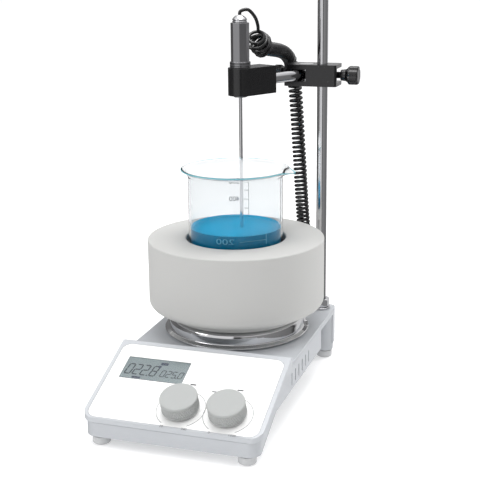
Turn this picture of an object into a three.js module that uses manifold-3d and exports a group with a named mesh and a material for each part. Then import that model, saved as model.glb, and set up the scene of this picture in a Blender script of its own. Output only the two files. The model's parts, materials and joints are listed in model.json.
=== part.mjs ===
// Magnetic stirrer with hot plate, beaker jacket and temperature probe on a rod stand.
// Units are millimetres, +Z is up and the control panel faces -Y.
// The origin is on the bench, under the middle of the object's own box.
import * as THREE from 'three';
import { mergeVertices } from 'three/addons/utils/BufferGeometryUtils.js';
import Module from 'manifold-3d';

const wasm = await Module();
wasm.setup();

// ---------------------------------------------------------------- driving dimensions

const GAP = 0.3; // clearance between pieces that touch or are fastened
const WALL = 3; // housing wall

const housingWidth = 149.5; // main housing, side to side
const bezelOverhang = 2.3; // the bezel is this much wider on each side
const housingTop = 51; // upper face of the top cover
const coverThickness = 2.7;
const panelRun = 92; // front face to the back of the bezel, along Y
const plateFrontMargin = 15; // bezel to the hot plate's brim
const plateRearMargin = 19; // the brim to the rear face
const footRadius = 7.5;
const footHeight = 8.3;
const footInset = 9.2; // foot axis to the housing's front, rear and side
const frontFootFromSide = 11.7;
const noseUnderside = 8.6; // underside of the low front end
const deckUnderside = 27; // underside of the raised rear deck
const rearUnderside = 15; // underside of the connector bay
const rearWallDepth = 12; // full-width wall across the rear end
const bayDepth = 36; // connector bay, front to back
const recessInset = 15; // corner recess at each rear side
const recessLength = 48;
const noseLength = 9; // flat underside at the front
const kneeFromFront = 51; // where the sloping underside meets the rear deck
const frontCorner = 10; // corner radii seen from above
const rearCorner = 5;
const deckPlateMargin = 22;
const ventCount = 6;
const ventPitch = 11.2;
const ventWidth = 2.2;
const ventTopDrop = 9; // cover's upper face to the slots' top

const panelAngle = 21.5; // degrees, slope of the control panel
const panelLipDrop = 25.2; // cover's upper face to the label's front edge
const labelMargin = 3.75; // bezel edge around the label
const bezelThickness = 4.1;
const labelThickness = 0.5;
const labelCorner = 8;
const labelInset = 1.5; // the label starts this far behind the front face
const labelLength = 88.5; // along the slope

const displayWidth = 56.3;
const displayHeight = 25.6;
const displayFromSide = 10.7; // label edge to the display
const displayFromBack = 15.6;
const knobRadius = 15.7;
const knobHeight = 12;
const knobPitch = 40.3; // between the two knobs
const knobFromSide = 29.7; // label's right edge to the outer knob
const knobFromFront = 20; // label's front edge to the knobs
const knobTravel = 1; // push stroke
const knobBoreDepth = 7;
const bushRadius = 4.2; // threaded neck of the encoder
const dialShaftRadius = 3;

const plateBrimRadius = 67;
const plateBrimWidth = 4.5;
const plateHeight = 14.5; // above the cover
const plateThickness = 2.6;

const beakerRadius = 43.2;
const beakerRimFlare = 6.4; // the rim reaches this far past the body
const beakerHeight = 119.7;
const beakerWall = 1.9;
const beakerFloorExtra = 1; // the floor is this much thicker than the wall
const spoutReach = 4.5;
const liquidDepth = 63.2;
const vesselBlockHeight = 16.2; // aluminium block between plate and beaker
const jacketBoreClearance = 2.3; // around the beaker
const jacketWallThickness = 35.5;
const jacketBodyHeight = 64;
const jacketSeatHeight = 8.5; // plate to the underside of the wide ring
const jacketSeatInset = 1; // the narrower seat ends this far inside the plate's crown
const stirBarLength = 38;
const stirBarRadius = 4;

const rodRadius = 5;
const rodEngagement = 12; // length of the rod below the cover's face
const rodTop = 400;
const rodFromSide = 12.5; // rod axis to the housing's side face
const rodFromRear = 12.1;
const nutAcrossFlats = 15.5;
const nutHeight = 8;
const washerRadius = 9.5;
const washerThickness = 1.5;

const clampLength = 50; // boss head, along X
const clampDepth = 25;
const clampHeight = 20;
const clampMiddle = 279.6; // height of the boss head's middle
const clampRodFromEnd = 15.7; // rod axis to the boss head's right end
const barrelFromRod = 15.3; // swivel axis to the rod axis
const barrelRadius = 7;
const armRadius = 5;
const swingLimit = 12; // degrees each way
const thumbscrewHeadRadius = 9;
const thumbscrewHeadLength = 10;
const thumbscrewNeck = 9;
const threadRadius = 3;
const lockScrewHeadRadius = 5;
const lockScrewRadius = 2;
const lockScrewRise = 3.4; // above the arm's axis
const lockScrewHeadEnd = 12; // head's end to the boss head
const endPocketDepth = 6; // recess in the boss head's right end

const connectorZ = 32; // height of the middle of the power inlet, fuse and switch
const connectorSetback = 0.8; // from the rear face
const inletFromSide = 38;
const inletWidth = 27.6;
const inletHeight = 20;
const inletDepth = 22;
const fuseX = -15;
const fuseRadius = 5.5;
const fuseLength = 24;
const switchX = 8;
const switchWidth = 20;
const switchHeight = 14;
const switchDepth = 13;
const rockerAxisDepth = 5.8; // behind the switch's face
const rockerBackRadius = 4.6;
const socketFromSide = 29.7; // probe socket to the housing's side face
const socketZ = 34;
const socketRadius = 6.2;
const socketWall = 1.6;
const plugLength = 27; // outside the socket
const plugBodyLength = 16; // full-width part of it
const socketLength = 12;
const rearPanelMargin = 18.5;
const sheetThickness = 1.6; // bottom plate, rear panel and circuit boards

const motorBracketInset = 37; // plate's brim to the bracket's front and rear edges
const motorBracketWidth = 68;
const motorRadius = 28;
const motorHeight = 9;
const shaftRadius = 2.5;
const magnetRadius = 6.5;
const magnetHeight = 5.2;
const magnetCircle = 24; // radius at which the magnets turn
const carrierThickness = 4;
const heaterThickness = 2.2;
const insulationThickness = 3;
const standoffRadius = 4;
const standoffInset = 5.9; // inside of the plate's wall to the standoffs' circle

const probeOffset = [6, -0.5]; // probe axis from the plate's axis, X and Y
const probeTip = 115;
const stemRadius = 1.6;
const holderBase = 268;
const holderHeight = 24.5;
const holderWidth = 22;
const holderLength = 34; // probe axis to the holder's flat end
const collarRadius = 9.2;
const collarHeight = 5;
const handleAcrossFlats = 15.2;
const handleLength = 33.9;
const capHeight = 6;
const sleeveRadius = 6; // the handle's lower end, inside the holder
const stemSocket = 20; // the stem's length inside the handle

const cordRadius = 1.4;
const coilRadius = 6.8; // outside of the curly cord
const tangleRadius = 11.5; // outside of the bunched part of the curly cord

// ---------------------------------------------------------------- derived places

const halfWidth = housingWidth / 2;
const bezelHalf = halfWidth + bezelOverhang;
const housingDepth = panelRun + plateFrontMargin + 2 * plateBrimRadius + plateRearMargin;
const front = -housingDepth / 2;
const rear = housingDepth / 2;
const bezelBack = front + panelRun;
const plateY = rear - plateRearMargin - plateBrimRadius;
const deckTop = housingTop - coverThickness; // top edge of the base shell is a gap below
const panelLipHeight = housingTop - panelLipDrop;
const plateTop = housingTop + plateHeight;
const plateCrownRadius = plateBrimRadius - plateBrimWidth;
const jacketBodyBase = plateTop + jacketSeatHeight;
const jacketLipRadius = plateCrownRadius - jacketSeatInset;
const slope = THREE.MathUtils.degToRad(panelAngle);
const labelHalf = bezelHalf - labelMargin;
const rodX = halfWidth - rodFromSide;
const rodY = rear - rodFromRear;
const rodBase = housingTop - rodEngagement;
const frontFootX = halfWidth - frontFootFromSide;
const rearFootX = halfWidth - footInset;
const displayU = -labelHalf + displayFromSide + displayWidth / 2;
const displayV = labelLength - displayFromBack - displayHeight / 2;
const stirKnobU = labelHalf - knobFromSide;
const heatKnobU = stirKnobU - knobPitch;
const plateUnderside = housingTop + 1;
const carrierTop = plateTop + vesselBlockHeight + GAP;
const beakerBase = carrierTop + GAP;
const beakerFloor = beakerBase + beakerWall + beakerFloorExtra;
const beakerRimRadius = beakerRadius + beakerRimFlare;
const jacketBore = beakerRadius + jacketBoreClearance;
const jacketRadius = jacketBore + jacketWallThickness;
const probeX = probeOffset[0];
const probeY = plateY + probeOffset[1];
const barrelX = rodX - barrelFromRod;
const barrelY = rodY;
const armAngle = Math.atan2(barrelX - probeX, barrelY - probeY); // from +Y towards +X
const armReach = Math.hypot(barrelX - probeX, barrelY - probeY);
const clampRight = rodX + clampRodFromEnd;
const clampLeft = clampRight - clampLength;
const clampEnd = clampRight + thumbscrewNeck + thumbscrewHeadLength;
const originX = (clampEnd - bezelHalf) / 2;
const socketX = halfWidth - socketFromSide;
const lockScrewZ = clampMiddle + lockScrewRise;
const rearPanelHalf = halfWidth - rearPanelMargin;
const rearPanelLow = rearUnderside + WALL + 1;
const rearPanelHigh = deckTop - 2;
const rearPanelFace = rear - WALL - GAP;
const deckPlateHalf = halfWidth - deckPlateMargin;
const deckPlateFront = front + kneeFromFront + 9;
const deckPlateRear = rear - bayDepth - 8;

// ---------------------------------------------------------------- shape helpers

function box(low, high) {
  const size = high.map((value, i) => value - low[i]);
  const middle = high.map((value, i) => (value + low[i]) / 2);
  return new THREE.BoxGeometry(...size).translate(...middle);
}

// Turned solid about +Z from [radius, height] points, starting and ending on the axis,
// or closing on itself when the last point repeats the first.
function turned(points, segments = 32) {
  const profile = points.map(([r, z]) => new THREE.Vector2(r, z));
  return new THREE.LatheGeometry(profile, segments).rotateX(Math.PI / 2);
}

function disc(radius, low, high, segments = 24) {
  return turned([[0, low], [radius, low], [radius, high], [0, high]], segments);
}

function ring(inner, outer, low, high, segments = 24) {
  return turned([[inner, low], [outer, low], [outer, high], [inner, high], [inner, low]], segments);
}

function prism(acrossFlats, low, high, sides) {
  return disc(acrossFlats / 2 / Math.cos(Math.PI / sides), low, high, sides);
}

function roundedRect(x0, y0, x1, y1, radii) {
  const [a, b, c, d] = radii; // front left, front right, rear right, rear left
  const shape = new THREE.Shape();
  shape.moveTo(x0 + a, y0);
  shape.lineTo(x1 - b, y0);
  shape.absarc(x1 - b, y0 + b, b, -Math.PI / 2, 0, false);
  shape.lineTo(x1, y1 - c);
  shape.absarc(x1 - c, y1 - c, c, 0, Math.PI / 2, false);
  shape.lineTo(x0 + d, y1);
  shape.absarc(x0 + d, y1 - d, d, Math.PI / 2, Math.PI, false);
  shape.lineTo(x0, y0 + a);
  shape.absarc(x0 + a, y0 + a, a, Math.PI, Math.PI * 1.5, false);
  return shape;
}

function upright(shape, low, high, curveSegments = 6) {
  const options = { depth: high - low, bevelEnabled: false, curveSegments };
  return new THREE.ExtrudeGeometry(shape, options).translate(0, 0, low);
}

// Side outline of [y, z] points carried across from x0 to x1.
function crosswise(points, x0, x1) {
  const shape = new THREE.Shape(points.map(([y, z]) => new THREE.Vector2(y, z)));
  const options = { depth: x1 - x0, bevelEnabled: false };
  const geometry = new THREE.ExtrudeGeometry(shape, options);
  const turn = new THREE.Matrix4().set(0, 0, 1, x0, 1, 0, 0, 0, 0, 1, 0, 0, 0, 0, 0, 1);
  return geometry.applyMatrix4(turn);
}

// Round tube along a smooth curve through the points.
function tube(points, radius, sides = 8, steps = 24) {
  const curve = new THREE.CatmullRomCurve3(points.map((p) => new THREE.Vector3(...p)));
  const section = new THREE.Shape();
  for (let i = 0; i < sides; i += 1) {
    const angle = (i / sides) * Math.PI * 2;
    const corner = [radius * Math.cos(angle), radius * Math.sin(angle)];
    if (i === 0) section.moveTo(...corner);
    else section.lineTo(...corner);
  }
  section.closePath();
  return new THREE.ExtrudeGeometry(section, { steps, extrudePath: curve });
}

function solid(geometry) {
  const bare = geometry.index ? geometry.toNonIndexed() : geometry.clone();
  bare.deleteAttribute('normal');
  bare.deleteAttribute('uv');
  const welded = mergeVertices(bare, 1e-4);
  const mesh = new wasm.Mesh({
    numProp: 3,
    vertProperties: new Float32Array(welded.attributes.position.array),
    triVerts: new Uint32Array(welded.index.array),
  });
  mesh.merge();
  return new wasm.Manifold(mesh);
}

function geometryOf(manifold) {
  const mesh = manifold.getMesh();
  const geometry = new THREE.BufferGeometry();
  geometry.setAttribute('position', new THREE.BufferAttribute(mesh.vertProperties, 3));
  geometry.setIndex(new THREE.BufferAttribute(mesh.triVerts, 1));
  return geometry;
}

function join(...geometries) {
  return geometryOf(geometries.map(solid).reduce((a, b) => a.add(b)));
}

function cut(geometry, ...tools) {
  return geometryOf(tools.map(solid).reduce((a, b) => a.subtract(b), solid(geometry)));
}

function meet(...geometries) {
  return geometryOf(geometries.map(solid).reduce((a, b) => a.intersect(b)));
}

// ---------------------------------------------------------------- scene and materials

const stirrer = new THREE.Group();
stirrer.position.x = -originX;

// The panel group's X runs along the label's front edge, Y up the slope and Z out of it.
const panel = new THREE.Group();
panel.position.set(0, front + labelInset, panelLipHeight);
panel.rotation.x = slope;
panel.updateMatrix();
stirrer.add(panel);

const plateAxis = new THREE.Group();
plateAxis.position.set(0, plateY, 0);
stirrer.add(plateAxis);

// The arm group's origin is on the probe axis and its Y runs along the arm to the swivel.
const armLine = new THREE.Group();
armLine.position.set(probeX, probeY, 0);
armLine.rotation.z = -armAngle;
stirrer.add(armLine);

const finish = (color, roughness, metalness = 0) => ({ color, roughness, metalness });
const paint = finish(0xb9bfc4, 0.5, 0.1);
const bezelPaint = finish(0xc3cacf, 0.45, 0.1);
const whiteLabel = finish(0xf4f4f2, 0.4);
const knobPlastic = finish(0xcfd1d0, 0.6);
const footRubber = finish(0xc4c6c7, 0.8);
const darkPlastic = finish(0x1d1e20, 0.5);
const steel = finish(0xc9cbcc, 0.2, 1);
const mirrorSteel = finish(0xd8d9da, 0.08, 1);
const aluminium = finish(0xb4b7ba, 0.4, 1);
const jacketWhite = finish(0xd6d7d5, 0.8);
const clearGlass = finish(0xdfeef2, 0.05);
const blueLiquid = finish(0x0f86c4, 0.1);
const greenBoard = finish(0x1f6b45, 0.6);
const mica = finish(0xc7b48c, 0.8);
const magnetNickel = finish(0x8e9094, 0.3, 1);
const fluoropolymer = finish(0xf2f2f0, 0.5);
const cordBlack = finish(0x17181a, 0.6);
const lcdGrey = finish(0x7f8f92, 0.3);

function addPart(name, geometry, look, parent = stirrer) {
  const mesh = new THREE.Mesh(geometry, new THREE.MeshStandardMaterial(look));
  mesh.name = name;
  parent.add(mesh);
  return mesh;
}

// Moves a cutter from the panel group's own axes into the stirrer's.
const onPanel = (geometry) => geometry.applyMatrix4(panel.matrix);

// ---------------------------------------------------------------- housing

const panelHeightAt = (y, drop) =>
  panelLipHeight - drop + (y - front - labelInset) * Math.tan(slope);
const seamDrop = bezelThickness / Math.cos(slope);
const seamTopY = front + labelInset + (deckTop - panelLipHeight + seamDrop) / Math.tan(slope);

function planOutline(half, y0, y1, frontRadius, rearRadius) {
  return roundedRect(-half, y0, half, y1, [frontRadius, frontRadius, rearRadius, rearRadius]);
}

function ventSlots() {
  const slots = [];
  const firstY = bezelBack + 6;
  for (const side of [-1, 1]) {
    for (let i = 0; i < ventCount; i += 1) {
      const y = firstY + i * ventPitch;
      const x = side * halfWidth;
      slots.push(box(
        [x - 2 * WALL, y - ventWidth / 2, deckUnderside + WALL + 1],
        [x + 2 * WALL, y + ventWidth / 2, housingTop - ventTopDrop],
      ));
    }
  }
  return slots;
}

function baseHousing() {
  const bayFront = rear - bayDepth;
  const recessBack = rear - rearWallDepth;
  const recessFront = recessBack - recessLength;
  const noseY = front + noseLength;
  const kneeY = front + kneeFromFront;
  const top = deckTop - GAP;
  const outer = crosswise([
    [front, noseUnderside], [noseY, noseUnderside], [kneeY, deckUnderside],
    [bayFront, deckUnderside], [bayFront, rearUnderside], [rear, rearUnderside],
    [rear, top], [seamTopY, top], [front, panelHeightAt(front, seamDrop + GAP)],
  ], -halfWidth, halfWidth);
  const plan = upright(planOutline(halfWidth, front, rear, frontCorner, rearCorner), 0, housingTop);
  const above = 2 * housingTop;
  const cavity = crosswise([
    [front + WALL, noseUnderside + WALL], [noseY, noseUnderside + WALL],
    [kneeY - 1, deckUnderside + WALL], [bayFront + WALL, deckUnderside + WALL],
    [bayFront + WALL, rearUnderside + WALL], [rear - WALL, rearUnderside + WALL],
    [rear - WALL, above], [front + WALL, above],
  ], -halfWidth + WALL, halfWidth - WALL);
  const innerPlan = upright(planOutline(
    halfWidth - WALL, front + WALL, rear - WALL, frontCorner - WALL, rearCorner - WALL,
  ), 0, above);
  const inset = halfWidth - recessInset;
  const recesses = [-1, 1].map((side) => {
    const xs = [side * inset, side * (halfWidth + 1)].sort((a, b) => a - b);
    return box([xs[0], recessFront, 0], [xs[1], recessBack, top - WALL]);
  });
  // the cavity stays out of the recess walls
  const recessWalls = [-1, 1].map((side) => {
    const xs = [side * (inset - WALL), side * (halfWidth + 1)].sort((a, b) => a - b);
    return box([xs[0], recessFront - WALL, 0], [xs[1], recessBack + WALL, above]);
  });
  const hollow = cut(meet(cavity, innerPlan), ...recessWalls);
  const legs = [-1, 1].map((side) => {
    const leg = disc(footRadius + 1, footHeight + GAP, top - 1, 24);
    return leg.translate(side * rearFootX, rear - footInset, 0);
  });
  const shell = cut(meet(outer, plan), hollow, ...recesses);
  const deckOpening = box(
    [-deckPlateHalf + 2, deckPlateFront + 2, 0],
    [deckPlateHalf - 2, deckPlateRear - 2, deckUnderside + WALL + 1],
  );
  const deckRebate = box(
    [-deckPlateHalf - GAP, deckPlateFront - GAP, 0],
    [deckPlateHalf + GAP, deckPlateRear + GAP, deckUnderside + sheetThickness + GAP],
  );
  const rearWindow = box(
    [-rearPanelHalf + 2, rear - WALL - 1, rearPanelLow + 2],
    [rearPanelHalf - 2, rear + 1, rearPanelHigh - 2],
  );
  const rodHole = disc(rodRadius + GAP, rodBase - GAP, above).translate(rodX, rodY, 0);
  return cut(join(shell, ...legs), deckOpening, deckRebate, rearWindow, rodHole, ...ventSlots());
}

addPart('base_housing', baseHousing(), paint);
addPart('bottom_plate', box(
  [-deckPlateHalf, deckPlateFront, deckUnderside],
  [deckPlateHalf, deckPlateRear, deckUnderside + sheetThickness],
), aluminium);

const plateInner = plateCrownRadius - plateThickness;
const standoffCircle = plateInner - standoffInset;
const coverHole = standoffCircle - standoffRadius; // radius of the opening under the hot plate
const heaterBase = plateTop - plateThickness - GAP - heaterThickness;
const insulationTop = heaterBase - GAP;
const insulationBase = insulationTop - insulationThickness;

function topCover() {
  const outline = planOutline(halfWidth, bezelBack + GAP, rear, 1, rearCorner);
  const sheet = upright(outline, deckTop, housingTop);
  const opening = disc(coverHole, 0, 2 * housingTop).translate(0, plateY, 0);
  const rodHole = disc(rodRadius + GAP, 0, 2 * housingTop, 24).translate(rodX, rodY, 0);
  const posts = [90, 210, 330].map((degrees) => {
    const angle = THREE.MathUtils.degToRad(degrees);
    const post = disc(standoffRadius, deckTop + 1, insulationBase - GAP, 16);
    return post.translate(standoffCircle * Math.cos(angle), plateY + standoffCircle * Math.sin(angle), 0);
  });
  return join(cut(sheet, opening, rodHole), ...posts);
}

addPart('top_cover', topCover(), paint);

function frontBezel() {
  const backDrop = 4;
  const crest = panelHeightAt(bezelBack - backDrop, 0);
  const side = crosswise([
    [front, panelHeightAt(front, seamDrop)], [seamTopY, deckTop], [bezelBack, deckTop],
    [bezelBack, crest - 3], [bezelBack - 1.2, crest - 0.8], [bezelBack - backDrop, crest],
    [front + labelInset, panelLipHeight], [front + 0.4, panelLipHeight - 0.9],
    [front, panelLipHeight - 2],
  ], -bezelHalf, bezelHalf);
  const plan = upright(planOutline(bezelHalf, front, bezelBack, frontCorner, 3), 0, 2 * housingTop);
  const pocket = upright(labelOutline(GAP), -labelThickness - GAP, 5);
  const window = box(
    [displayU - displayWidth / 2 - 1, displayV - displayHeight / 2 - 1, -20],
    [displayU + displayWidth / 2 + 1, displayV + displayHeight / 2 + 1, 5],
  );
  const underside = box(
    [-halfWidth + WALL, -10, -40], [halfWidth - WALL, labelLength + 1, -bezelThickness],
  );
  return cut(meet(side, plan), ...[pocket, window, underside, ...bushHoles()].map(onPanel));
}

function bushHoles() {
  const hole = () => disc(bushRadius + 0.4, -20, 5, 24);
  return [heatKnobU, stirKnobU].map((u) => hole().translate(u, knobFromFront, 0));
}

function labelOutline(grow) {
  const r = labelCorner + grow;
  return roundedRect(-labelHalf - grow, -grow, labelHalf + grow, labelLength + grow, [r, r, r, r]);
}

addPart('front_bezel', frontBezel(), bezelPaint);

function panelLabel() {
  const sheet = upright(labelOutline(0), -labelThickness, 0);
  const window = box(
    [displayU - displayWidth / 2 - GAP, displayV - displayHeight / 2 - GAP, -5],
    [displayU + displayWidth / 2 + GAP, displayV + displayHeight / 2 + GAP, 5],
  );
  return cut(sheet, window, ...bushHoles());
}

addPart('panel_label', panelLabel(), whiteLabel, panel);
addPart('display_window', box(
  [displayU - displayWidth / 2, displayV - displayHeight / 2, -labelThickness],
  [displayU + displayWidth / 2, displayV + displayHeight / 2, 0],
), clearGlass, panel);
addPart('display_module', box(
  [displayU - displayWidth / 2 - 3, displayV - displayHeight / 2 - 3, -9],
  [displayU + displayWidth / 2 + 3, displayV + displayHeight / 2 + 3, -bezelThickness - GAP],
), lcdGrey, panel);

// ---------------------------------------------------------------- rear panel and connectors

const connectorFace = rear - connectorSetback;
const inletX = -halfWidth + inletFromSide;
const inletHalf = inletWidth / 2;
const inletBase = connectorZ - inletHeight / 2;
const inletTop = connectorZ + inletHeight / 2;
const switchHalf = switchWidth / 2;
const switchBase = connectorZ - switchHeight / 2;
const switchTop = connectorZ + switchHeight / 2;

function rearPanel() {
  const back = rearPanelFace - sheetThickness;
  const sheet = box([-rearPanelHalf, back, rearPanelLow], [rearPanelHalf, rearPanelFace, rearPanelHigh]);
  const through = [back - 5, rearPanelFace + 5];
  const inletHole = box(
    [inletX - inletHalf - GAP, through[0], inletBase - GAP],
    [inletX + inletHalf + GAP, through[1], inletTop + GAP],
  );
  const switchHole = box(
    [switchX - switchHalf - GAP, through[0], switchBase - GAP],
    [switchX + switchHalf + GAP, through[1], switchTop + GAP],
  );
  const round = (x, z, radius) => lying(disc(radius + GAP, ...through, 24), x, z);
  const fuseHole = round(fuseX, connectorZ, fuseRadius);
  return cut(sheet, inletHole, switchHole, round(socketX, socketZ, socketRadius), fuseHole);
}

// Lays a solid turned about Z down so that its heights run along +Y, at the given X and Z.
function lying(geometry, x, z) {
  return geometry.rotateX(-Math.PI / 2).translate(x, 0, z);
}

addPart('rear_panel', rearPanel(), aluminium);

addPart('power_inlet', cut(
  box(
    [inletX - inletHalf, connectorFace - inletDepth, inletBase],
    [inletX + inletHalf, connectorFace, inletTop],
  ),
  box(
    [inletX - inletHalf + 1.9, connectorFace - inletDepth + 4, inletBase + 2.2],
    [inletX + inletHalf - 1.9, connectorFace + 1, inletTop - 2.2],
  ),
), darkPlastic);
addPart('fuse_holder', lying(
  disc(fuseRadius, connectorFace - fuseLength, connectorFace, 24), fuseX, connectorZ,
), darkPlastic);
addPart('sensor_socket', cut(
  lying(disc(socketRadius, connectorFace - socketLength, connectorFace, 24), socketX, socketZ),
  lying(disc(socketRadius - socketWall, connectorFace - 8, connectorFace + 1, 24), socketX, socketZ),
), steel);

const rockerHalf = switchHalf - 1.6;
addPart('switch_frame', cut(
  box(
    [switchX - switchHalf, connectorFace - switchDepth, switchBase],
    [switchX + switchHalf, connectorFace, switchTop],
  ),
  box(
    [switchX - rockerHalf - GAP, connectorFace - switchDepth + 2, connectorZ - 5.8],
    [switchX + rockerHalf + GAP, connectorFace + 1, connectorZ + 5.8],
  ),
), darkPlastic);

// The rocker's axis runs along X; its face is a shallow V and its back is round.
const rockerAxisY = connectorFace - rockerAxisDepth;
function rocker() {
  const points = [
    [rockerAxisY + 4.6, connectorZ - 5], [rockerAxisY + 3.6, connectorZ],
    [rockerAxisY + 5.6, connectorZ + rockerBackRadius],
  ];
  const steps = 8;
  for (let i = 0; i <= steps; i += 1) {
    const angle = (Math.PI * i) / steps;
    points.push([
      rockerAxisY - rockerBackRadius * Math.sin(angle),
      connectorZ + rockerBackRadius * Math.cos(angle),
    ]);
  }
  return crosswise(points.reverse(), switchX - rockerHalf, switchX + rockerHalf);
}
addPart('power_switch', rocker(), darkPlastic);

// ---------------------------------------------------------------- feet

function foot() {
  const neck = footRadius - 1.2;
  return turned([
    [0, 0], [footRadius - 0.8, 0], [footRadius, 0.8], [footRadius, footHeight - 1.6],
    [neck, footHeight - 1.2], [neck, footHeight], [0, footHeight],
  ], 20);
}

const footPlaces = {
  foot_front_left: [-frontFootX, front + footInset],
  foot_front_right: [frontFootX, front + footInset],
  foot_rear_left: [-rearFootX, rear - footInset],
  foot_rear_right: [rearFootX, rear - footInset],
};
for (const [name, [x, y]] of Object.entries(footPlaces)) {
  addPart(name, foot(), footRubber).position.set(x, y, 0);
}

// ---------------------------------------------------------------- hot plate and drive

const crownFillet = 5;
const crownTop = plateTop - crownFillet;
function hotPlate() {
  const rounding = [0.25, 0.5, 0.75].map((t) => {
    const angle = t * (Math.PI / 2);
    return [
      plateCrownRadius - crownFillet + crownFillet * Math.cos(angle),
      crownTop + crownFillet * Math.sin(angle),
    ];
  });
  return turned([
    [0, plateTop], [plateCrownRadius - crownFillet, plateTop], ...rounding.reverse(),
    [plateCrownRadius, crownTop], [plateCrownRadius, plateUnderside + 3.2],
    [plateCrownRadius + 1.2, plateUnderside + 2], [plateBrimRadius, plateUnderside + 1.2],
    [plateBrimRadius, plateUnderside], [plateInner, plateUnderside],
    [plateInner, plateTop - plateThickness], [0, plateTop - plateThickness],
  ].reverse(), 40);
}

addPart('hot_plate', hotPlate(), mirrorSteel, plateAxis);
const heater = disc(plateInner - 4, heaterBase, heaterBase + heaterThickness, 40);
const insulation = disc(plateInner - GAP, insulationBase, insulationTop, 40);
addPart('heating_element', heater, mica, plateAxis);
addPart('insulation_disc', insulation, fluoropolymer, plateAxis);

const motorBase = deckUnderside + WALL + 2.2;
const motorTop = motorBase + motorHeight;
const bracketHalf = plateBrimRadius - motorBracketInset;
addPart('motor_bracket', cut(
  box(
    [-motorBracketWidth / 2, -bracketHalf, deckUnderside + sheetThickness + GAP],
    [motorBracketWidth / 2, bracketHalf, motorBase - GAP],
  ),
  disc(shaftRadius + 3, 0, housingTop),
), aluminium, plateAxis);
addPart('motor_housing', cut(
  disc(motorRadius, motorBase, motorTop, 40),
  disc(shaftRadius + GAP, motorBase + 1.5, housingTop, 24),
), aluminium, plateAxis);
addPart('motor_shaft', disc(shaftRadius, motorBase + 1.5 + GAP, motorTop + 6, 24), steel, plateAxis);

const carrierBase = motorTop + 1.5;
const magnetBase = carrierBase + carrierThickness + GAP;
addPart('magnet_carrier', cut(
  box([-magnetCircle - 8, -8, carrierBase], [magnetCircle + 8, 8, carrierBase + carrierThickness]),
  disc(shaftRadius + GAP, 0, housingTop, 24),
), aluminium, plateAxis);
for (const [name, side] of [['magnet_left', -1], ['magnet_right', 1]]) {
  const magnet = disc(magnetRadius, magnetBase, magnetBase + magnetHeight, 24);
  addPart(name, magnet, magnetNickel, plateAxis).position.x = side * magnetCircle;
}

// ---------------------------------------------------------------- electronics

const boardFloor = deckUnderside + WALL + 3;
addPart('power_board', box(
  [-halfWidth + 2 * WALL + 1, bezelBack - 12, boardFloor],
  [-halfWidth + 31, rear - rearWallDepth - recessLength - 2 * WALL, boardFloor + sheetThickness],
), greenBoard);
addPart('power_transformer', box(
  [-halfWidth + 2 * WALL + 3, bezelBack - 8, boardFloor + sheetThickness + GAP],
  [-halfWidth + 28, bezelBack + 24, deckTop - 1.5],
), darkPlastic);

const boardBack = -13;
addPart('control_board', box(
  [-labelHalf + 9, 6, boardBack],
  [labelHalf - 9, labelLength - 8, boardBack + sheetThickness],
), greenBoard, panel);

const encoderTop = -bezelThickness - GAP;
const encoderBase = boardBack + sheetThickness + GAP;
const stemLow = encoderBase + 1 + knobTravel;
const knobBase = 1 + knobTravel;
for (const [name, u] of [['heat', heatKnobU], ['stir', stirKnobU]]) {
  const body = cut(
    join(
      box([-6.5, -6.5, encoderBase], [6.5, 6.5, encoderTop]),
      disc(bushRadius, encoderTop - 1, -labelThickness, 24),
    ),
    disc(dialShaftRadius + GAP, encoderBase + 1, 5, 24),
  );
  const plunger = disc(2.2, stemLow, stemLow + 1.2, 16);
  const shaft = disc(dialShaftRadius, stemLow + 1.2 + GAP, knobBase + knobBoreDepth, 24);
  const knob = cut(
    turned([
      [0, knobBase], [knobRadius - 1, knobBase], [knobRadius, knobBase + 0.8],
      [knobRadius, knobBase + knobHeight - 1.2], [knobRadius - 1.2, knobBase + knobHeight],
      [0, knobBase + knobHeight],
    ], 28),
    disc(dialShaftRadius + GAP, 0, knobBase + knobBoreDepth + GAP, 24),
  );
  addPart(`${name}_encoder_body`, body, darkPlastic, panel).position.set(u, knobFromFront, 0);
  addPart(`${name}_encoder_plunger`, plunger, steel, panel).position.set(u, knobFromFront, 0);
  addPart(`${name}_encoder_shaft`, shaft, steel, panel).position.set(u, knobFromFront, 0);
  addPart(`${name}_knob`, knob, knobPlastic, panel).position.set(u, knobFromFront, 0);
}

// ---------------------------------------------------------------- vessel, jacket and stir bar

addPart('vessel_block', disc(jacketBore - 1.2, plateTop + GAP, carrierTop, 40), aluminium, plateAxis);

const jacketTop = jacketBodyBase + jacketBodyHeight;
const lipBase = plateTop + GAP;
function jacket() {
  const fillet = 8;
  const edge = 2;
  const bottom = [];
  for (let i = 0; i <= 4; i += 1) {
    const angle = (-Math.PI / 2) * (1 - i / 4);
    bottom.push([
      jacketRadius - fillet + fillet * Math.cos(angle),
      jacketBodyBase + fillet + fillet * Math.sin(angle),
    ]);
  }
  return turned([
    [jacketBore, lipBase], [jacketLipRadius, lipBase], [jacketLipRadius, jacketBodyBase],
    ...bottom, [jacketRadius, jacketTop - edge], [jacketRadius - edge, jacketTop],
    [jacketBore + 1.5, jacketTop], [jacketBore, jacketTop - 1.5], [jacketBore, lipBase],
  ], 40);
}
addPart('insulating_jacket', jacket(), jacketWhite, plateAxis);

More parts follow.
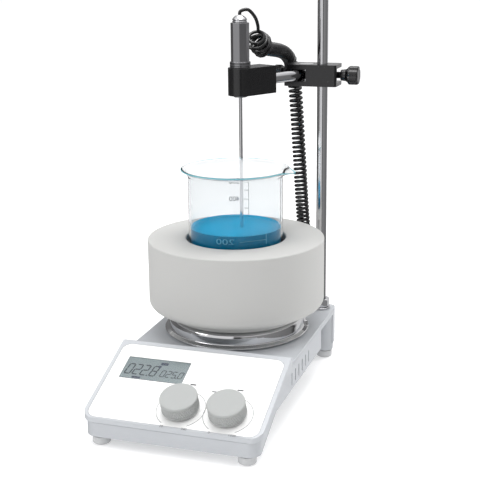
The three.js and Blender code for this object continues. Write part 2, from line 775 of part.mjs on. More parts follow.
// The rim flares out, and a spout on the +X side reaches a little further.
const beakerRim = beakerBase + beakerHeight;
const flareStart = beakerRim - 7;
function drawOutSpout(geometry) {
  const spoutHalfAngle = 0.34;
  const position = geometry.attributes.position;
  for (let i = 0; i < position.count; i += 1) {
    const [x, y, z] = [position.getX(i), position.getY(i), position.getZ(i)];
    const angle = Math.atan2(y, x);
    const rise = (z - flareStart) / (beakerRim - flareStart);
    if (rise > 0 && Math.abs(angle) < spoutHalfAngle) {
      const swell = 0.5 + 0.5 * Math.cos((Math.PI * angle) / spoutHalfAngle);
      const stretch = 1 + (spoutReach * rise * swell) / Math.hypot(x, y);
      position.setXYZ(i, x * stretch, y * stretch, z);
    }
  }
  return geometry;
}

function beaker() {
  const heel = 5;
  const inner = beakerRadius - beakerWall;
  return drawOutSpout(turned([
    [0, beakerBase], [beakerRadius - heel, beakerBase], [beakerRadius - 1.5, beakerBase + 1.5],
    [beakerRadius, beakerBase + heel], [beakerRadius, flareStart],
    [beakerRadius + 1.6, beakerRim - 3], [beakerRimRadius, beakerRim],
    [beakerRimRadius - beakerWall, beakerRim], [inner + 1.2, beakerRim - 3.4], [inner, flareStart],
    [inner, beakerFloor + heel - 1], [inner - heel + 1, beakerFloor], [0, beakerFloor],
  ], 40));
}
addPart('beaker', beaker(), clearGlass, plateAxis);

const liquidTop = beakerFloor + liquidDepth;
function liquid() {
  const radius = beakerRadius - beakerWall - GAP;
  const base = beakerFloor + GAP;
  const fill = turned([
    [0, base], [radius - 4.6, base], [radius, base + 4.6], [radius, liquidTop], [0, liquidTop],
  ], 40);
  const barSweep = disc(stirBarLength / 2 + 1, 0, beakerFloor + 2 * stirBarRadius + 1.2);
  const stemHole = disc(stemRadius + 0.5, probeTip - 2, liquidTop + 5, 16);
  stemHole.translate(probeOffset[0], probeOffset[1], 0);
  return cut(fill, barSweep, stemHole);
}
addPart('liquid', liquid(), blueLiquid, plateAxis);

function stirBar() {
  const half = stirBarLength / 2;
  const end = 2.5;
  return turned([
    [0, -half], [end, -half], [stirBarRadius, -half + end], [stirBarRadius, -1.5],
    [stirBarRadius + 0.3, -1.5], [stirBarRadius + 0.3, 1.5], [stirBarRadius, 1.5],
    [stirBarRadius, half - end], [end, half], [0, half],
  ], 20).rotateY(Math.PI / 2);
}
addPart('stir_bar', stirBar(), fluoropolymer, plateAxis)
  .position.z = beakerFloor + GAP + stirBarRadius + 0.3;

// ---------------------------------------------------------------- rod stand

const nutBase = housingTop + GAP + washerThickness + GAP;
addPart('stand_rod', disc(rodRadius, rodBase, rodTop), steel)
  .position.set(rodX, rodY, 0);
addPart('rod_washer', ring(rodRadius + GAP, washerRadius, housingTop + GAP, nutBase - GAP), steel)
  .position.set(rodX, rodY, 0);
const nut = cut(prism(nutAcrossFlats, nutBase, nutBase + nutHeight, 6), disc(rodRadius + GAP, 0, rodTop));
addPart('rod_nut', nut, steel).position.set(rodX, rodY, 0);

// ---------------------------------------------------------------- boss head and swivel arm

const clampBase = clampMiddle - clampHeight / 2;
const clampTop = clampMiddle + clampHeight / 2;
const clampFront = rodY - clampDepth / 2;
const barrelBase = clampBase + 1.2 + GAP;

// Room in the boss head for the arm as it swings, open through the front face.
function swingSlot() {
  const half = armRadius + 2 * GAP;
  const reach = clampDepth;
  const limit = THREE.MathUtils.degToRad(swingLimit);
  const along = (angle, side, length) => {
    const [s, c] = [Math.sin(angle), Math.cos(angle)];
    return new THREE.Vector2(side * half * c - length * s, -side * half * s - length * c);
  };
  const near = armAngle - limit;
  const far = armAngle + limit;
  const outline = new THREE.Shape([
    along(far, -1, 0), along(far, -1, reach), along(near, 1, reach), along(near, 1, 0),
  ]);
  return upright(outline, clampMiddle - half, clampMiddle + half).translate(barrelX, barrelY, 0);
}

function bossHead() {
  const outline = roundedRect(clampLeft, clampFront, clampRight, rodY + clampDepth / 2, [3, 2, 2, 3]);
  const block = upright(outline, clampBase, clampTop);
  const rodBore = disc(rodRadius + GAP, 0, rodTop).translate(rodX, rodY, 0);
  const barrelBore = disc(barrelRadius + GAP, barrelBase - GAP, clampTop + 1);
  barrelBore.translate(barrelX, barrelY, 0);
  const screwBore = alongX(
    disc(threadRadius + GAP, rodX, clampRight + 5, 24), rodY, clampMiddle,
  );
  const lockBore = alongX(
    disc(lockScrewRadius + GAP, clampLeft - 5, barrelX, 20), barrelY, lockScrewZ,
  );
  const endPocket = box(
    [clampRight - endPocketDepth, clampFront + 4, clampBase + 3.5],
    [clampRight + 1, rodY + clampDepth, clampTop - 3.5],
  );
  return cut(block, rodBore, barrelBore, screwBore, lockBore, endPocket, swingSlot());
}

// Turns a solid about Z so that its heights run along +X, at the given Y and Z.
function alongX(geometry, y, z) {
  return geometry.rotateY(Math.PI / 2).translate(0, y, z);
}

addPart('boss_head', bossHead(), darkPlastic);

// The thumbscrew bears on the rod; it is turned about X.
const screwTip = rodX + rodRadius + GAP;
const headBase = clampRight + thumbscrewNeck;
function thumbscrew() {
  const flutes = 8;
  const head = disc(thumbscrewHeadRadius, headBase, clampEnd, 32);
  const grooves = [];
  for (let i = 0; i < flutes; i += 1) {
    const angle = (i / flutes) * Math.PI * 2;
    const reach = thumbscrewHeadRadius + 0.9;
    const groove = disc(2, headBase - 1, clampEnd + 1, 12);
    grooves.push(groove.translate(reach * Math.cos(angle), reach * Math.sin(angle), 0));
  }
  const spindle = turned([
    [0, screwTip], [threadRadius, screwTip], [threadRadius, clampRight + 2],
    [5, clampRight + 2], [6.2, headBase + 1], [0, headBase + 1],
  ], 24);
  return alongX(join(cut(head, ...grooves), spindle), 0, 0);
}
addPart('clamp_thumbscrew', thumbscrew(), darkPlastic).position.set(0, rodY, clampMiddle);

function lockScrew() {
  const tip = barrelX - barrelRadius - GAP;
  const headEnd = clampLeft - lockScrewHeadEnd;
  return alongX(turned([
    [0, headEnd], [lockScrewHeadRadius - 1, headEnd], [lockScrewHeadRadius, headEnd + 1],
    [lockScrewHeadRadius, headEnd + 7], [3.2, headEnd + 9], [3.2, clampLeft - 1],
    [lockScrewRadius, clampLeft - 1], [lockScrewRadius, tip], [0, tip],
  ], 20), 0, 0);
}
addPart('arm_lock_screw', lockScrew(), darkPlastic).position.set(0, barrelY, lockScrewZ);

// In the arm group the swivel axis stands at [0, armReach].
const armLow = holderLength - 10;
addPart('swivel_barrel', cut(
  disc(barrelRadius, barrelBase, clampTop).translate(0, armReach, 0),
  alongY(disc(armRadius + GAP, armReach - 2 * barrelRadius, armReach + 3 + GAP, 24), clampMiddle),
), steel, armLine);

function alongY(geometry, z) {
  return geometry.rotateX(-Math.PI / 2).translate(0, 0, z);
}

addPart('support_arm', alongY(disc(armRadius, armLow, armReach + 3), clampMiddle), steel, armLine);

function sensorHolder() {
  const half = holderWidth / 2;
  const outline = new THREE.Shape();
  outline.moveTo(half, holderLength);
  outline.lineTo(-half, holderLength);
  outline.lineTo(-half, 0);
  outline.absarc(0, 0, half, Math.PI, 2 * Math.PI, false);
  outline.closePath();
  const body = upright(outline, holderBase, holderBase + holderHeight, 10);
  const probeBore = disc(sleeveRadius + GAP, holderBase - 1, holderBase + holderHeight + 1);
  const armBore = alongY(disc(armRadius + GAP, armLow - GAP, holderLength + 5, 24), clampMiddle);
  return cut(body, probeBore, armBore);
}
addPart('sensor_holder', sensorHolder(), darkPlastic, armLine);

// ---------------------------------------------------------------- temperature probe

const collarBase = holderBase + holderHeight + GAP;
const handleBase = collarBase + collarHeight;
const handleTop = handleBase + handleLength;
function probeHandle() {
  const grip = prism(handleAcrossFlats, handleBase - 1, handleTop, 8).rotateZ(Math.PI / 12);
  const collar = disc(collarRadius, collarBase, handleBase);
  const sleeve = disc(sleeveRadius, holderBase - 1.5, collarBase + 1);
  const stemBore = disc(stemRadius + GAP, 0, handleBase + stemSocket, 16);
  return cut(join(grip, collar, sleeve), stemBore);
}
const probeAxis = new THREE.Group();
probeAxis.position.set(probeX, probeY, 0);
stirrer.add(probeAxis);
addPart('probe_handle', probeHandle(), darkPlastic, probeAxis);
addPart('probe_stem', turned([
  [0, probeTip], [0.9, probeTip + 0.3], [stemRadius, probeTip + 1.4],
  [stemRadius, handleBase + stemSocket - GAP], [0, handleBase + stemSocket - GAP],
], 16), steel, probeAxis);
addPart('probe_cap', turned([
  [0, handleTop + GAP], [6.6, handleTop + GAP], [6.6, handleTop + 3], [5, handleTop + capHeight - 1],
  [3.6, handleTop + capHeight], [0, handleTop + capHeight],
], 24), steel, probeAxis);

// ---------------------------------------------------------------- probe cord and its plug

const capTop = handleTop + capHeight;
const plugFront = connectorFace + GAP;
const plugEnd = plugFront + plugLength;

// Thin cord from the cap, over to the side and down into the bunch.
addPart('cord_loop', tube([
  [probeX, probeY, capTop + 2 * GAP], [probeX + 0.4, probeY + 0.4, capTop + 3.2],
  [probeX + 6, probeY + 4, capTop + 5], [probeX + 11.2, probeY + 8.5, capTop - 1.5],
  [probeX + 12.2, probeY + 14, capTop - 9.5], [probeX + 10.4, probeY + 20.4, capTop - 16.4],
], cordRadius, 8, 18), cordBlack);

// Bunched start of the curly cord.
function bunch() {
  const points = [];
  const steps = 8;
  for (let i = 0; i <= steps; i += 1) {
    const angle = -Math.PI / 2 + (Math.PI * i) / steps;
    points.push([tangleRadius * Math.cos(angle), tangleRadius * Math.sin(angle)]);
  }
  points[0][0] = 0;
  points[steps][0] = 0;
  return turned(points, 16);
}
addPart('cord_bunch', bunch(), cordBlack).position.set(14, 72, 312);

// Curly cord past the boss head, then hanging behind the stand.
addPart('cord_coil_upper', tube([
  [16.4, 82.7, 307.1], [18, 93, 304.8], [20, 105, 303], [21, 120, 300.5],
  [22.5, 133, 296.4], [24.5, 141, 289.4], [26.2, 142, 281.6],
], coilRadius, 10, 12), cordBlack);
addPart('cord_coil_lower', tube([
  [26.5, 142, 280.2], [29, 141.2, 267], [34, 139, 204], [38, 139, 140], [42, 141, 85],
], coilRadius, 10, 16), cordBlack);

// Thin tail from the coil's end round to the plug.
addPart('cord_tail', tube([
  [42, 141.1, 84.6], [42.2, 142.8, 77], [42.8, 149, 69.5], [43.6, 160, 62], [44.4, 169, 54],
  [45, 172, 45], [socketX, 168.5, 37.5], [socketX, plugEnd + 5, socketZ + 0.4],
  [socketX, plugEnd + GAP, socketZ],
], cordRadius, 8, 26), cordBlack);

function sensorPlug() {
  const nose = socketRadius - socketWall - GAP;
  return lying(turned([
    [0, connectorFace - 6], [nose, connectorFace - 6], [nose, plugFront],
    [socketRadius, plugFront], [socketRadius, plugFront + plugBodyLength],
    [4.4, plugFront + plugBodyLength + 2],
    [2.4, plugEnd], [0, plugEnd],
  ], 24), socketX, socketZ);
}
addPart('sensor_plug', sensorPlug(), steel);

export default stirrer;
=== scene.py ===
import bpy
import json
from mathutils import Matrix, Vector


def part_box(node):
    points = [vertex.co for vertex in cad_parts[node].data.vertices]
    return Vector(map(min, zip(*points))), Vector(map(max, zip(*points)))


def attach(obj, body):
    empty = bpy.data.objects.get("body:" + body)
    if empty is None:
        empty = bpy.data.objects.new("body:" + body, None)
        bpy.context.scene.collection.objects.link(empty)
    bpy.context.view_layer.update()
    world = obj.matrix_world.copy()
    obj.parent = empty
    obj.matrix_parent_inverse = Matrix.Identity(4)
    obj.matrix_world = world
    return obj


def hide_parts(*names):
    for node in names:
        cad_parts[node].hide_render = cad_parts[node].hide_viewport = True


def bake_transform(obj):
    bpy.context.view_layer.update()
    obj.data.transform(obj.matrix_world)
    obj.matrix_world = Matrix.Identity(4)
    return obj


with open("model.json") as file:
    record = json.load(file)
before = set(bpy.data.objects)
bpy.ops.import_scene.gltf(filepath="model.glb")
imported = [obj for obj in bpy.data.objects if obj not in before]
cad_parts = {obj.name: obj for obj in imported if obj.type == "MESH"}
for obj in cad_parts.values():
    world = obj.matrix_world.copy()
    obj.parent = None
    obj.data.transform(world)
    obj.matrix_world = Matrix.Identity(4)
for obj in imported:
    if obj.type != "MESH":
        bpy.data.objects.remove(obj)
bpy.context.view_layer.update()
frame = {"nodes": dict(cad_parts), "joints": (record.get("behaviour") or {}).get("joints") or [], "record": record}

import json
import math

import bmesh
import bpy
import numpy as np
from mathutils import Matrix, Vector

cadNodes = frame["nodes"]
cadJoints = {joint["name"]: joint for joint in frame["joints"]}
scene = bpy.context.scene
mm = 0.001
print("frame loaded:", len(cadNodes), "nodes")


# camera

cameraView = {"place": (0.2935, -0.8537, 0.3916), "turn": 18.437, "down": 13.644, "roll": -0.619,
              "lens": 80.0, "sensor": 36.0, "shiftUp": -0.0604}


def makeCamera(view):
    data = bpy.data.cameras.new("camera")
    data.lens = view["lens"]
    data.sensor_width = view["sensor"]
    data.shift_y = view["shiftUp"]
    data.clip_end = 20
    camera = bpy.data.objects.new("camera", data)
    turn, down, roll = (math.radians(view[key]) for key in ("turn", "down", "roll"))
    camera.matrix_world = (Matrix.Translation(view["place"]) @ Matrix.Rotation(turn, 4, "Z")
                           @ Matrix.Rotation(math.pi / 2 - down, 4, "X") @ Matrix.Rotation(roll, 4, "Z"))
    scene.collection.objects.link(camera)
    scene.camera = camera


makeCamera(cameraView)
print("camera placed")


# shape helpers: points are in millimetres until newMesh scales them

def boxOf(node):
    low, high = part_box(node)
    return np.array(low) / mm, np.array(high) / mm


def unit(vector):
    return vector / np.linalg.norm(vector, axis=-1, keepdims=True)


def newMesh(name, points, faces, creaseAngle=35):
    # points in millimetres and faces as index rows; edges sharper than the angle stay crisp
    mesh = bpy.data.meshes.new(name)
    mesh.from_pydata((np.asarray(points) * mm).tolist(), [], [list(face) for face in faces])
    mesh.update()
    mesh.shade_smooth()
    mesh.set_sharp_from_angle(angle=math.radians(creaseAngle))
    piece = bpy.data.objects.new(name, mesh)
    scene.collection.objects.link(piece)
    return piece


def signedVolume(points, triangles):
    a, b, c = (points[triangles[:, i]] for i in range(3))
    return float(np.einsum("ij,ij->i", a, np.cross(b, c)).sum()) / 6


def skin(name, rows, looped=False, creaseAngle=35):
    # rows[k, j] is a grid of points that wraps along j; a looped skin wraps along k too,
    # and any other closes each end in a fan on the middle of its row
    count, around = rows.shape[:2]
    points = rows.reshape(-1, 3)
    k, j = np.meshgrid(np.arange(count if looped else count - 1), np.arange(around), indexing="ij")
    after, beside = (k + 1) % count, (j + 1) % around
    quads = np.stack([k * around + j, k * around + beside, after * around + beside,
                      after * around + j], -1).reshape(-1, 4)
    fans = np.zeros((0, 3), int)
    if not looped:
        points = np.vstack([points, rows[0].mean(0), rows[-1].mean(0)])
        j = np.arange(around)
        beside, last = (j + 1) % around, (count - 1) * around
        firstMiddle = count * around
        fans = np.vstack([np.stack([np.full(around, firstMiddle), beside, j], -1),
                          np.stack([np.full(around, firstMiddle + 1), last + j, last + beside], -1)])
    triangles = np.vstack([quads[:, [0, 1, 2]], quads[:, [0, 2, 3]], fans])
    if signedVolume(points - points.mean(0), triangles) < 0:
        quads, fans = quads[:, ::-1], fans[:, ::-1]
    return newMesh(name, points, quads.tolist() + fans.tolist(), creaseAngle)


def rounded(corners, closed=False, steps=6):
    # polyline whose corners (x, y, radius) each turn on an arc that touches both neighbours
    points = np.array([corner[:2] for corner in corners], float)
    path = []
    for i, corner in enumerate(corners):
        radius = corner[2] if len(corner) > 2 else 0
        if radius == 0 or (not closed and i in (0, len(corners) - 1)):
            path.append(points[i])
            continue
        back, ahead = unit(points[i - 1] - points[i]), unit(points[(i + 1) % len(points)] - points[i])
        half = math.acos(max(-1, min(1, float(back @ ahead)))) / 2
        centre = points[i] + unit(back + ahead) * radius / math.sin(half)
        reach, sweep = radius / math.tan(half), math.pi - 2 * half
        start, end = points[i] + back * reach - centre, points[i] + ahead * reach - centre
        share = np.linspace(0, 1, steps + 1)[:, None]
        path.extend(centre + (np.sin((1 - share) * sweep) * start + np.sin(share * sweep) * end)
                    / math.sin(sweep))
    return np.array(path)


def axesAlong(axis, across=(1, 0, 0)):
    # three unit rows: x and y across the axis, z along it
    z = unit(np.array(axis, float))
    x = np.array(across, float)
    x = unit(x - z * (x @ z)) if abs(unit(x) @ z) < 0.95 else unit(np.cross((0, 1, 0), z))
    return np.stack([x, np.cross(z, x), z])


def placed(points, origin, axes=None):
    return np.asarray(origin) + (points if axes is None else points @ axes)


def ringRows(profile, around):
    # each profile point (radius, height) goes once round the axis
    angle = np.linspace(0, 2 * math.pi, around, endpoint=False)
    radius, height = profile[:, 0, None], profile[:, 1, None]
    return np.stack([radius * np.cos(angle), radius * np.sin(angle), height + 0 * angle], -1)


def turned(name, corners, origin, axis=(0, 0, 1), around=96, looped=False):
    # profile of (radius, height, fillet) corners turned round an axis through the origin
    profile = rounded(corners, closed=looped)
    return skin(name, placed(ringRows(profile, around), origin, axesAlong(axis)), looped)


def block(name, outline, low, high, edge, origin, axes=None, steps=4):
    # closed outline of (x, y, radius) corners raised from low to high, with its two rims rounded:
    # a rim row at angle a is drawn in by edge * (1 - cos a) and stands edge * (1 - sin a) short
    line = rounded(outline, closed=True)
    ahead = unit(np.roll(line, -1, 0) - line)
    inward = unit(np.roll(ahead, 1, 0) + ahead) @ np.array([[0, 1], [-1, 0]])
    area = np.sum(line[:, 0] * np.roll(line[:, 1], -1) - np.roll(line[:, 0], -1) * line[:, 1])
    inward = inward if area > 0 else -inward
    angle = np.linspace(math.pi / 2, 0, steps + 1)
    insets = edge * (1 - np.cos(angle))
    shortfall = edge * (1 - np.sin(angle))
    insets = np.concatenate([insets, insets[::-1]])
    heights = np.concatenate([low + shortfall, (high - shortfall)[::-1]])
    flat = line + insets[:, None, None] * inward
    rows = np.concatenate([flat, np.broadcast_to(heights[:, None, None], flat.shape[:2] + (1,))], -1)
    return skin(name, placed(rows, origin, axes))


def rectangle(x0, y0, x1, y1, radius):
    return [(x0, y0, radius), (x1, y0, radius), (x1, y1, radius), (x0, y1, radius)]


def smoothCurve(points, perSpan=40):
    # centripetal Catmull-Rom curve: each span is the cubic whose end slopes come from the chords
    # on either side, weighted by the square root of their lengths
    p = np.array(points, float)
    p = np.vstack([2 * p[0] - p[1], p, 2 * p[-1] - p[-2]])
    knot = np.sqrt(np.linalg.norm(np.diff(p, axis=0), axis=1))[:, None]
    p0, p1, p2, p3 = p[:-3], p[1:-2], p[2:-1], p[3:]
    d0, d1, d2 = knot[:-2], knot[1:-1], knot[2:]
    m1 = ((p1 - p0) / d0 - (p2 - p0) / (d0 + d1) + (p2 - p1) / d1) * d1
    m2 = ((p2 - p1) / d1 - (p3 - p1) / (d1 + d2) + (p3 - p2) / d2) * d1
    t = np.linspace(0, 1, perSpan, endpoint=False)[None, :, None]
    curve = (p1[:, None] * (2 * t ** 3 - 3 * t ** 2 + 1) + m1[:, None] * (t ** 3 - 2 * t ** 2 + t)
             + p2[:, None] * (3 * t ** 2 - 2 * t ** 3) + m2[:, None] * (t ** 3 - t ** 2))
    return np.vstack([curve.reshape(-1, 3), p[-2]])


def lengthsAlong(path):
    return np.concatenate([[0], np.cumsum(np.linalg.norm(np.diff(path, axis=0), axis=1))])


def framesAlong(path):
    # tangents, and a normal carried along so that it never twists about them
    tangent = unit(np.gradient(path, axis=0))
    normal = np.zeros_like(path)
    normal[0] = axesAlong(tangent[0])[0]
    for i in range(1, len(path)):
        normal[i] = unit(normal[i - 1] - tangent[i] * (normal[i - 1] @ tangent[i]))
    return tangent, normal, np.cross(tangent, normal)


def tube(name, path, radius, sides=12):
    # a circle carried along the path
    _, normal, binormal = framesAlong(path)
    angle = np.linspace(0, 2 * math.pi, sides, endpoint=False)
    rows = path[:, None] + radius * (np.cos(angle)[:, None] * normal[:, None]
                                     + np.sin(angle)[:, None] * binormal[:, None])
    return skin(name, rows, creaseAngle=60)


# probe cord: one wire from the probe's cap to its plug, cut into a piece for each stretch

capLow, capHigh = boxOf("probe_cap")
stemLow, stemHigh = boxOf("probe_stem")
probeAxis = np.array([*(stemLow + stemHigh)[:2] / 2, 0])
plugLow, plugHigh = boxOf("sensor_plug")
cordShape = {
    "wire": 3.0, "coilRadius": 5.3, "bunchRadius": 8.8, "bunchPitch": 3.6, "upperPitch": 4.3,
    "lowerPitches": (4.8, 4.5, 3.9, 3.5), "leadPitch": 15, "turnPoints": 16, "uneven": 0.16,
    "loop": [(0, 0, 0.6), (0.3, 0.3, 3.4), (6, 4, 5), (11.2, 8.5, -1.5), (12.2, 14, -9.5)],
    "bunch": [(10.4, 20.4, -16.4), (8.6, 28.6, -25.7)],
    "upper": [(10.4, 39.2, -30.6), (12, 49.5, -32.9), (14, 61.5, -34.7), (15, 76.5, -37.2),
              (16.5, 89.5, -41.3), (18.5, 97.5, -48.3)],
    "lower": [(20.4, 98.5, -57), (23, 97.7, -70.7), (28, 95.5, -133.7), (32, 95.5, -197.7)],
    "tail": [(36, 97.6, -252.9), (36.2, 99.3, -260.7), (36.8, 105.5, -268.2), (37.6, 116.5, -275.7),
             (38.4, 125.5, -283.7), (39, 128.5, -292.7)],
    "intoPlug": [(0, 12, 3.5), (0, 5, 0.4), (0, 0.3, 0)],
}


def wirePath(shape):
    # the wire winds round a middle line: middle + radius * (cos turn * normal + sin turn * binormal),
    # where the turn grows by one circle for each pitch travelled
    # the route's points stand on the top of the probe's cap, and the last three on the plug's tail
    base = probeAxis + (0, 0, capHigh[2])
    plugTail = [(plugHigh[0] + plugLow[0]) / 2, plugHigh[1], (plugHigh[2] + plugLow[2]) / 2]
    knots = {key: base + np.array(shape[key]) for key in ("loop", "bunch", "upper", "lower", "tail")}
    middle = smoothCurve(np.vstack([*knots.values(), plugTail + np.array(shape["intoPlug"])]))
    far = lengthsAlong(middle)
    where = {key: far[np.argmin(np.linalg.norm(middle - knots[key][0], axis=1))] for key in knots}
    where["end"] = far[-1]
    lower = np.linspace(where["lower"], where["tail"] - 4, len(shape["lowerPitches"]))
    pitchAt = lambda s: np.interp(s, [where["bunch"] + 5, where["bunch"] + 7, where["upper"],
                                      where["upper"] + 8, where["lower"] - 6, *lower, where["tail"] - 3],
                                  [shape["leadPitch"], shape["bunchPitch"], shape["bunchPitch"],
                                   shape["upperPitch"], shape["upperPitch"], *shape["lowerPitches"],
                                   shape["leadPitch"]])
    swellAt = lambda s: np.interp(s, [where["bunch"] - 2, where["bunch"] + 5, where["upper"] - 4,
                                      where["upper"] + 3, where["tail"] - 3, where["tail"] + 3],
                                  [0, shape["bunchRadius"], shape["bunchRadius"], shape["coilRadius"],
                                   shape["coilRadius"], 0])
    fine = np.linspace(0, far[-1], 9000)
    density = np.maximum(shape["turnPoints"] / pitchAt(fine) * (swellAt(fine) > 0.1), 1 / 0.9)
    tally = np.concatenate([[0], np.cumsum((density[1:] + density[:-1]) / 2 * np.diff(fine))])
    stations = np.interp(np.linspace(0, tally[-1], int(tally[-1])), tally, fine)
    line = np.stack([np.interp(stations, far, middle[:, i]) for i in range(3)], -1)
    turn = np.interp(stations, fine, np.concatenate(
        [[0], np.cumsum(2 * math.pi / pitchAt(fine)[1:] * np.diff(fine))]))
    _, normal, binormal = framesAlong(line)
    inBunch = np.clip((stations - where["bunch"]) / (where["upper"] - where["bunch"]), 0, 1)
    uneven = 1 - shape["uneven"] * np.sin(inBunch * math.pi) * np.sin(turn * 1.37 + 0.6)
    reach = (swellAt(stations) * uneven)[:, None]
    wire = line + reach * (np.cos(turn)[:, None] * normal + np.sin(turn)[:, None] * binormal)
    return wire, stations, where


wire, stations, stretch = wirePath(cordShape)


def cordPiece(name, start, end):
    inside = np.flatnonzero((stations >= stretch[start]) & (stations <= stretch[end]))
    path = wire[max(inside[0] - 1, 0):inside[-1] + 1]
    piece = tube(name, path, cordShape["wire"] / 2)
    return piece, path[0] * mm, path[-1] * mm


def makePlug(name):
    # metal barrel with a ribbed grip and a tapered tail that grips the cord
    middle = (plugLow + plugHigh) / 2
    front, back, radius = plugLow[1], plugHigh[1], (plugHigh[0] - plugLow[0]) / 2
    nose = radius - 1.9
    ribs = []
    for i in range(6):
        start = front + 8.5 + 2 * i
        ribs += [(radius - 0.7, start, 0.15), (radius, start + 0.35, 0.2), (radius, start + 1.2, 0.2),
                 (radius - 0.7, start + 1.55, 0.15)]
    corners = [(0.4, front), (nose, front, 0.4), (nose, front + 6.3, 0.2), (radius, front + 6.3, 0.5),
               *ribs, (radius, back - 10.5, 0.5), (4.4, back - 8.8, 0.6), (2.4, back, 0.6), (1.5, back)]
    plug = turned(name, corners, (middle[0], 0, middle[2]), axis=(0, 1, 0))
    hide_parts("sensor_plug")
    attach(plug, "housing")
    return plug


probePlug = makePlug("probe_plug")
cordPieces = {}
for name, start, end, farEnd, lay, extra in [
        ("cord_top_loop", "loop", "bunch", "object", "loose", ()),
        ("cord_bunched_coil", "bunch", "upper", "object", "coiled", ()),
        ("cord_sloping_coil", "upper", "lower", "object", "hanging", ()),
        ("cord_hanging_coil", "lower", "tail", "object", "hanging", ()),
        ("cord_plug_tail", "tail", "end", "plug", "hanging", (probePlug,))]:
    cordPieces[name] = cordPiece(name, start, end)
for name, node in [("cord_top_loop", "cord_loop"), ("cord_bunched_coil", "cord_bunch"),
                   ("cord_sloping_coil", "cord_coil_upper"), ("cord_hanging_coil", "cord_coil_lower"),
                   ("cord_plug_tail", "cord_tail")]:
    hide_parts(node)
for name, bodies in [("cord_top_loop", ("probe", "arm")), ("cord_sloping_coil", ("arm", "clamp")),
                     ("cord_hanging_coil", ("clamp", "housing"))]:
    piece, first, last = cordPieces[name]
    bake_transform(piece)
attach(cordPieces["cord_bunched_coil"][0], "arm")
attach(cordPieces["cord_plug_tail"][0], "housing")
print("cords made:", len(wire), "points,", round(lengthsAlong(wire)[-1]), "mm of wire")


# finishes

def tone(red, green, blue):
    # screen values from 0 to 255 as linear light
    return tuple(((value / 255) / 12.92 if value < 10.3 else ((value / 255 + 0.055) / 1.055) ** 2.4)
                 for value in (red, green, blue))


def makeFinish(name, colour, roughness, drift=0.03, driftSize=40, spread=0.04, grain=0.01, grainSize=0.6,
               stretch=(1, 1, 1), **sockets):
    # the colour drifts a little either way over driftSize mm and the roughness with it,
    # and a noise of grainSize mm raises the surface by grain mm
    finish = bpy.data.materials.new(name)
    finish.use_nodes = True
    nodes, links = finish.node_tree.nodes, finish.node_tree.links
    shader = nodes["Principled BSDF"]
    place = nodes.new("ShaderNodeTexCoord")
    mapping = nodes.new("ShaderNodeMapping")
    mapping.inputs["Scale"].default_value = stretch
    links.new(place.outputs["Object"], mapping.inputs["Vector"])
    coarse, fine = nodes.new("ShaderNodeTexNoise"), nodes.new("ShaderNodeTexNoise")
    coarse.inputs["Scale"].default_value = 1 / (driftSize * mm)
    coarse.inputs["Detail"].default_value = 4
    fine.inputs["Scale"].default_value = 1 / (grainSize * mm)
    fine.inputs["Detail"].default_value = 3
    for noise in (coarse, fine):
        links.new(mapping.outputs["Vector"], noise.inputs["Vector"])
    tint = nodes.new("ShaderNodeMix")
    tint.data_type = "RGBA"
    tint.inputs[6].default_value = (*[min(1, value * (1 - drift)) for value in colour], 1)
    tint.inputs[7].default_value = (*[min(1, value * (1 + drift)) for value in colour], 1)
    links.new(coarse.outputs["Fac"], tint.inputs["Factor"])
    links.new(tint.outputs[2], shader.inputs["Base Color"])
    gloss = nodes.new("ShaderNodeMapRange")
    gloss.inputs["From Min"].default_value, gloss.inputs["From Max"].default_value = 0.25, 0.75
    gloss.inputs["To Min"].default_value = max(0.0, roughness - spread)
    gloss.inputs["To Max"].default_value = roughness + spread
    links.new(coarse.outputs["Fac"], gloss.inputs["Value"])
    links.new(gloss.outputs["Result"], shader.inputs["Roughness"])
    if grain:
        bump = nodes.new("ShaderNodeBump")
        bump.inputs["Distance"].default_value = grain * mm
        links.new(fine.outputs["Fac"], bump.inputs["Height"])
        links.new(bump.outputs["Normal"], shader.inputs["Normal"])
    for socket, value in sockets.items():
        shader.inputs[socket.replace("_", " ")].default_value = value
    return finish


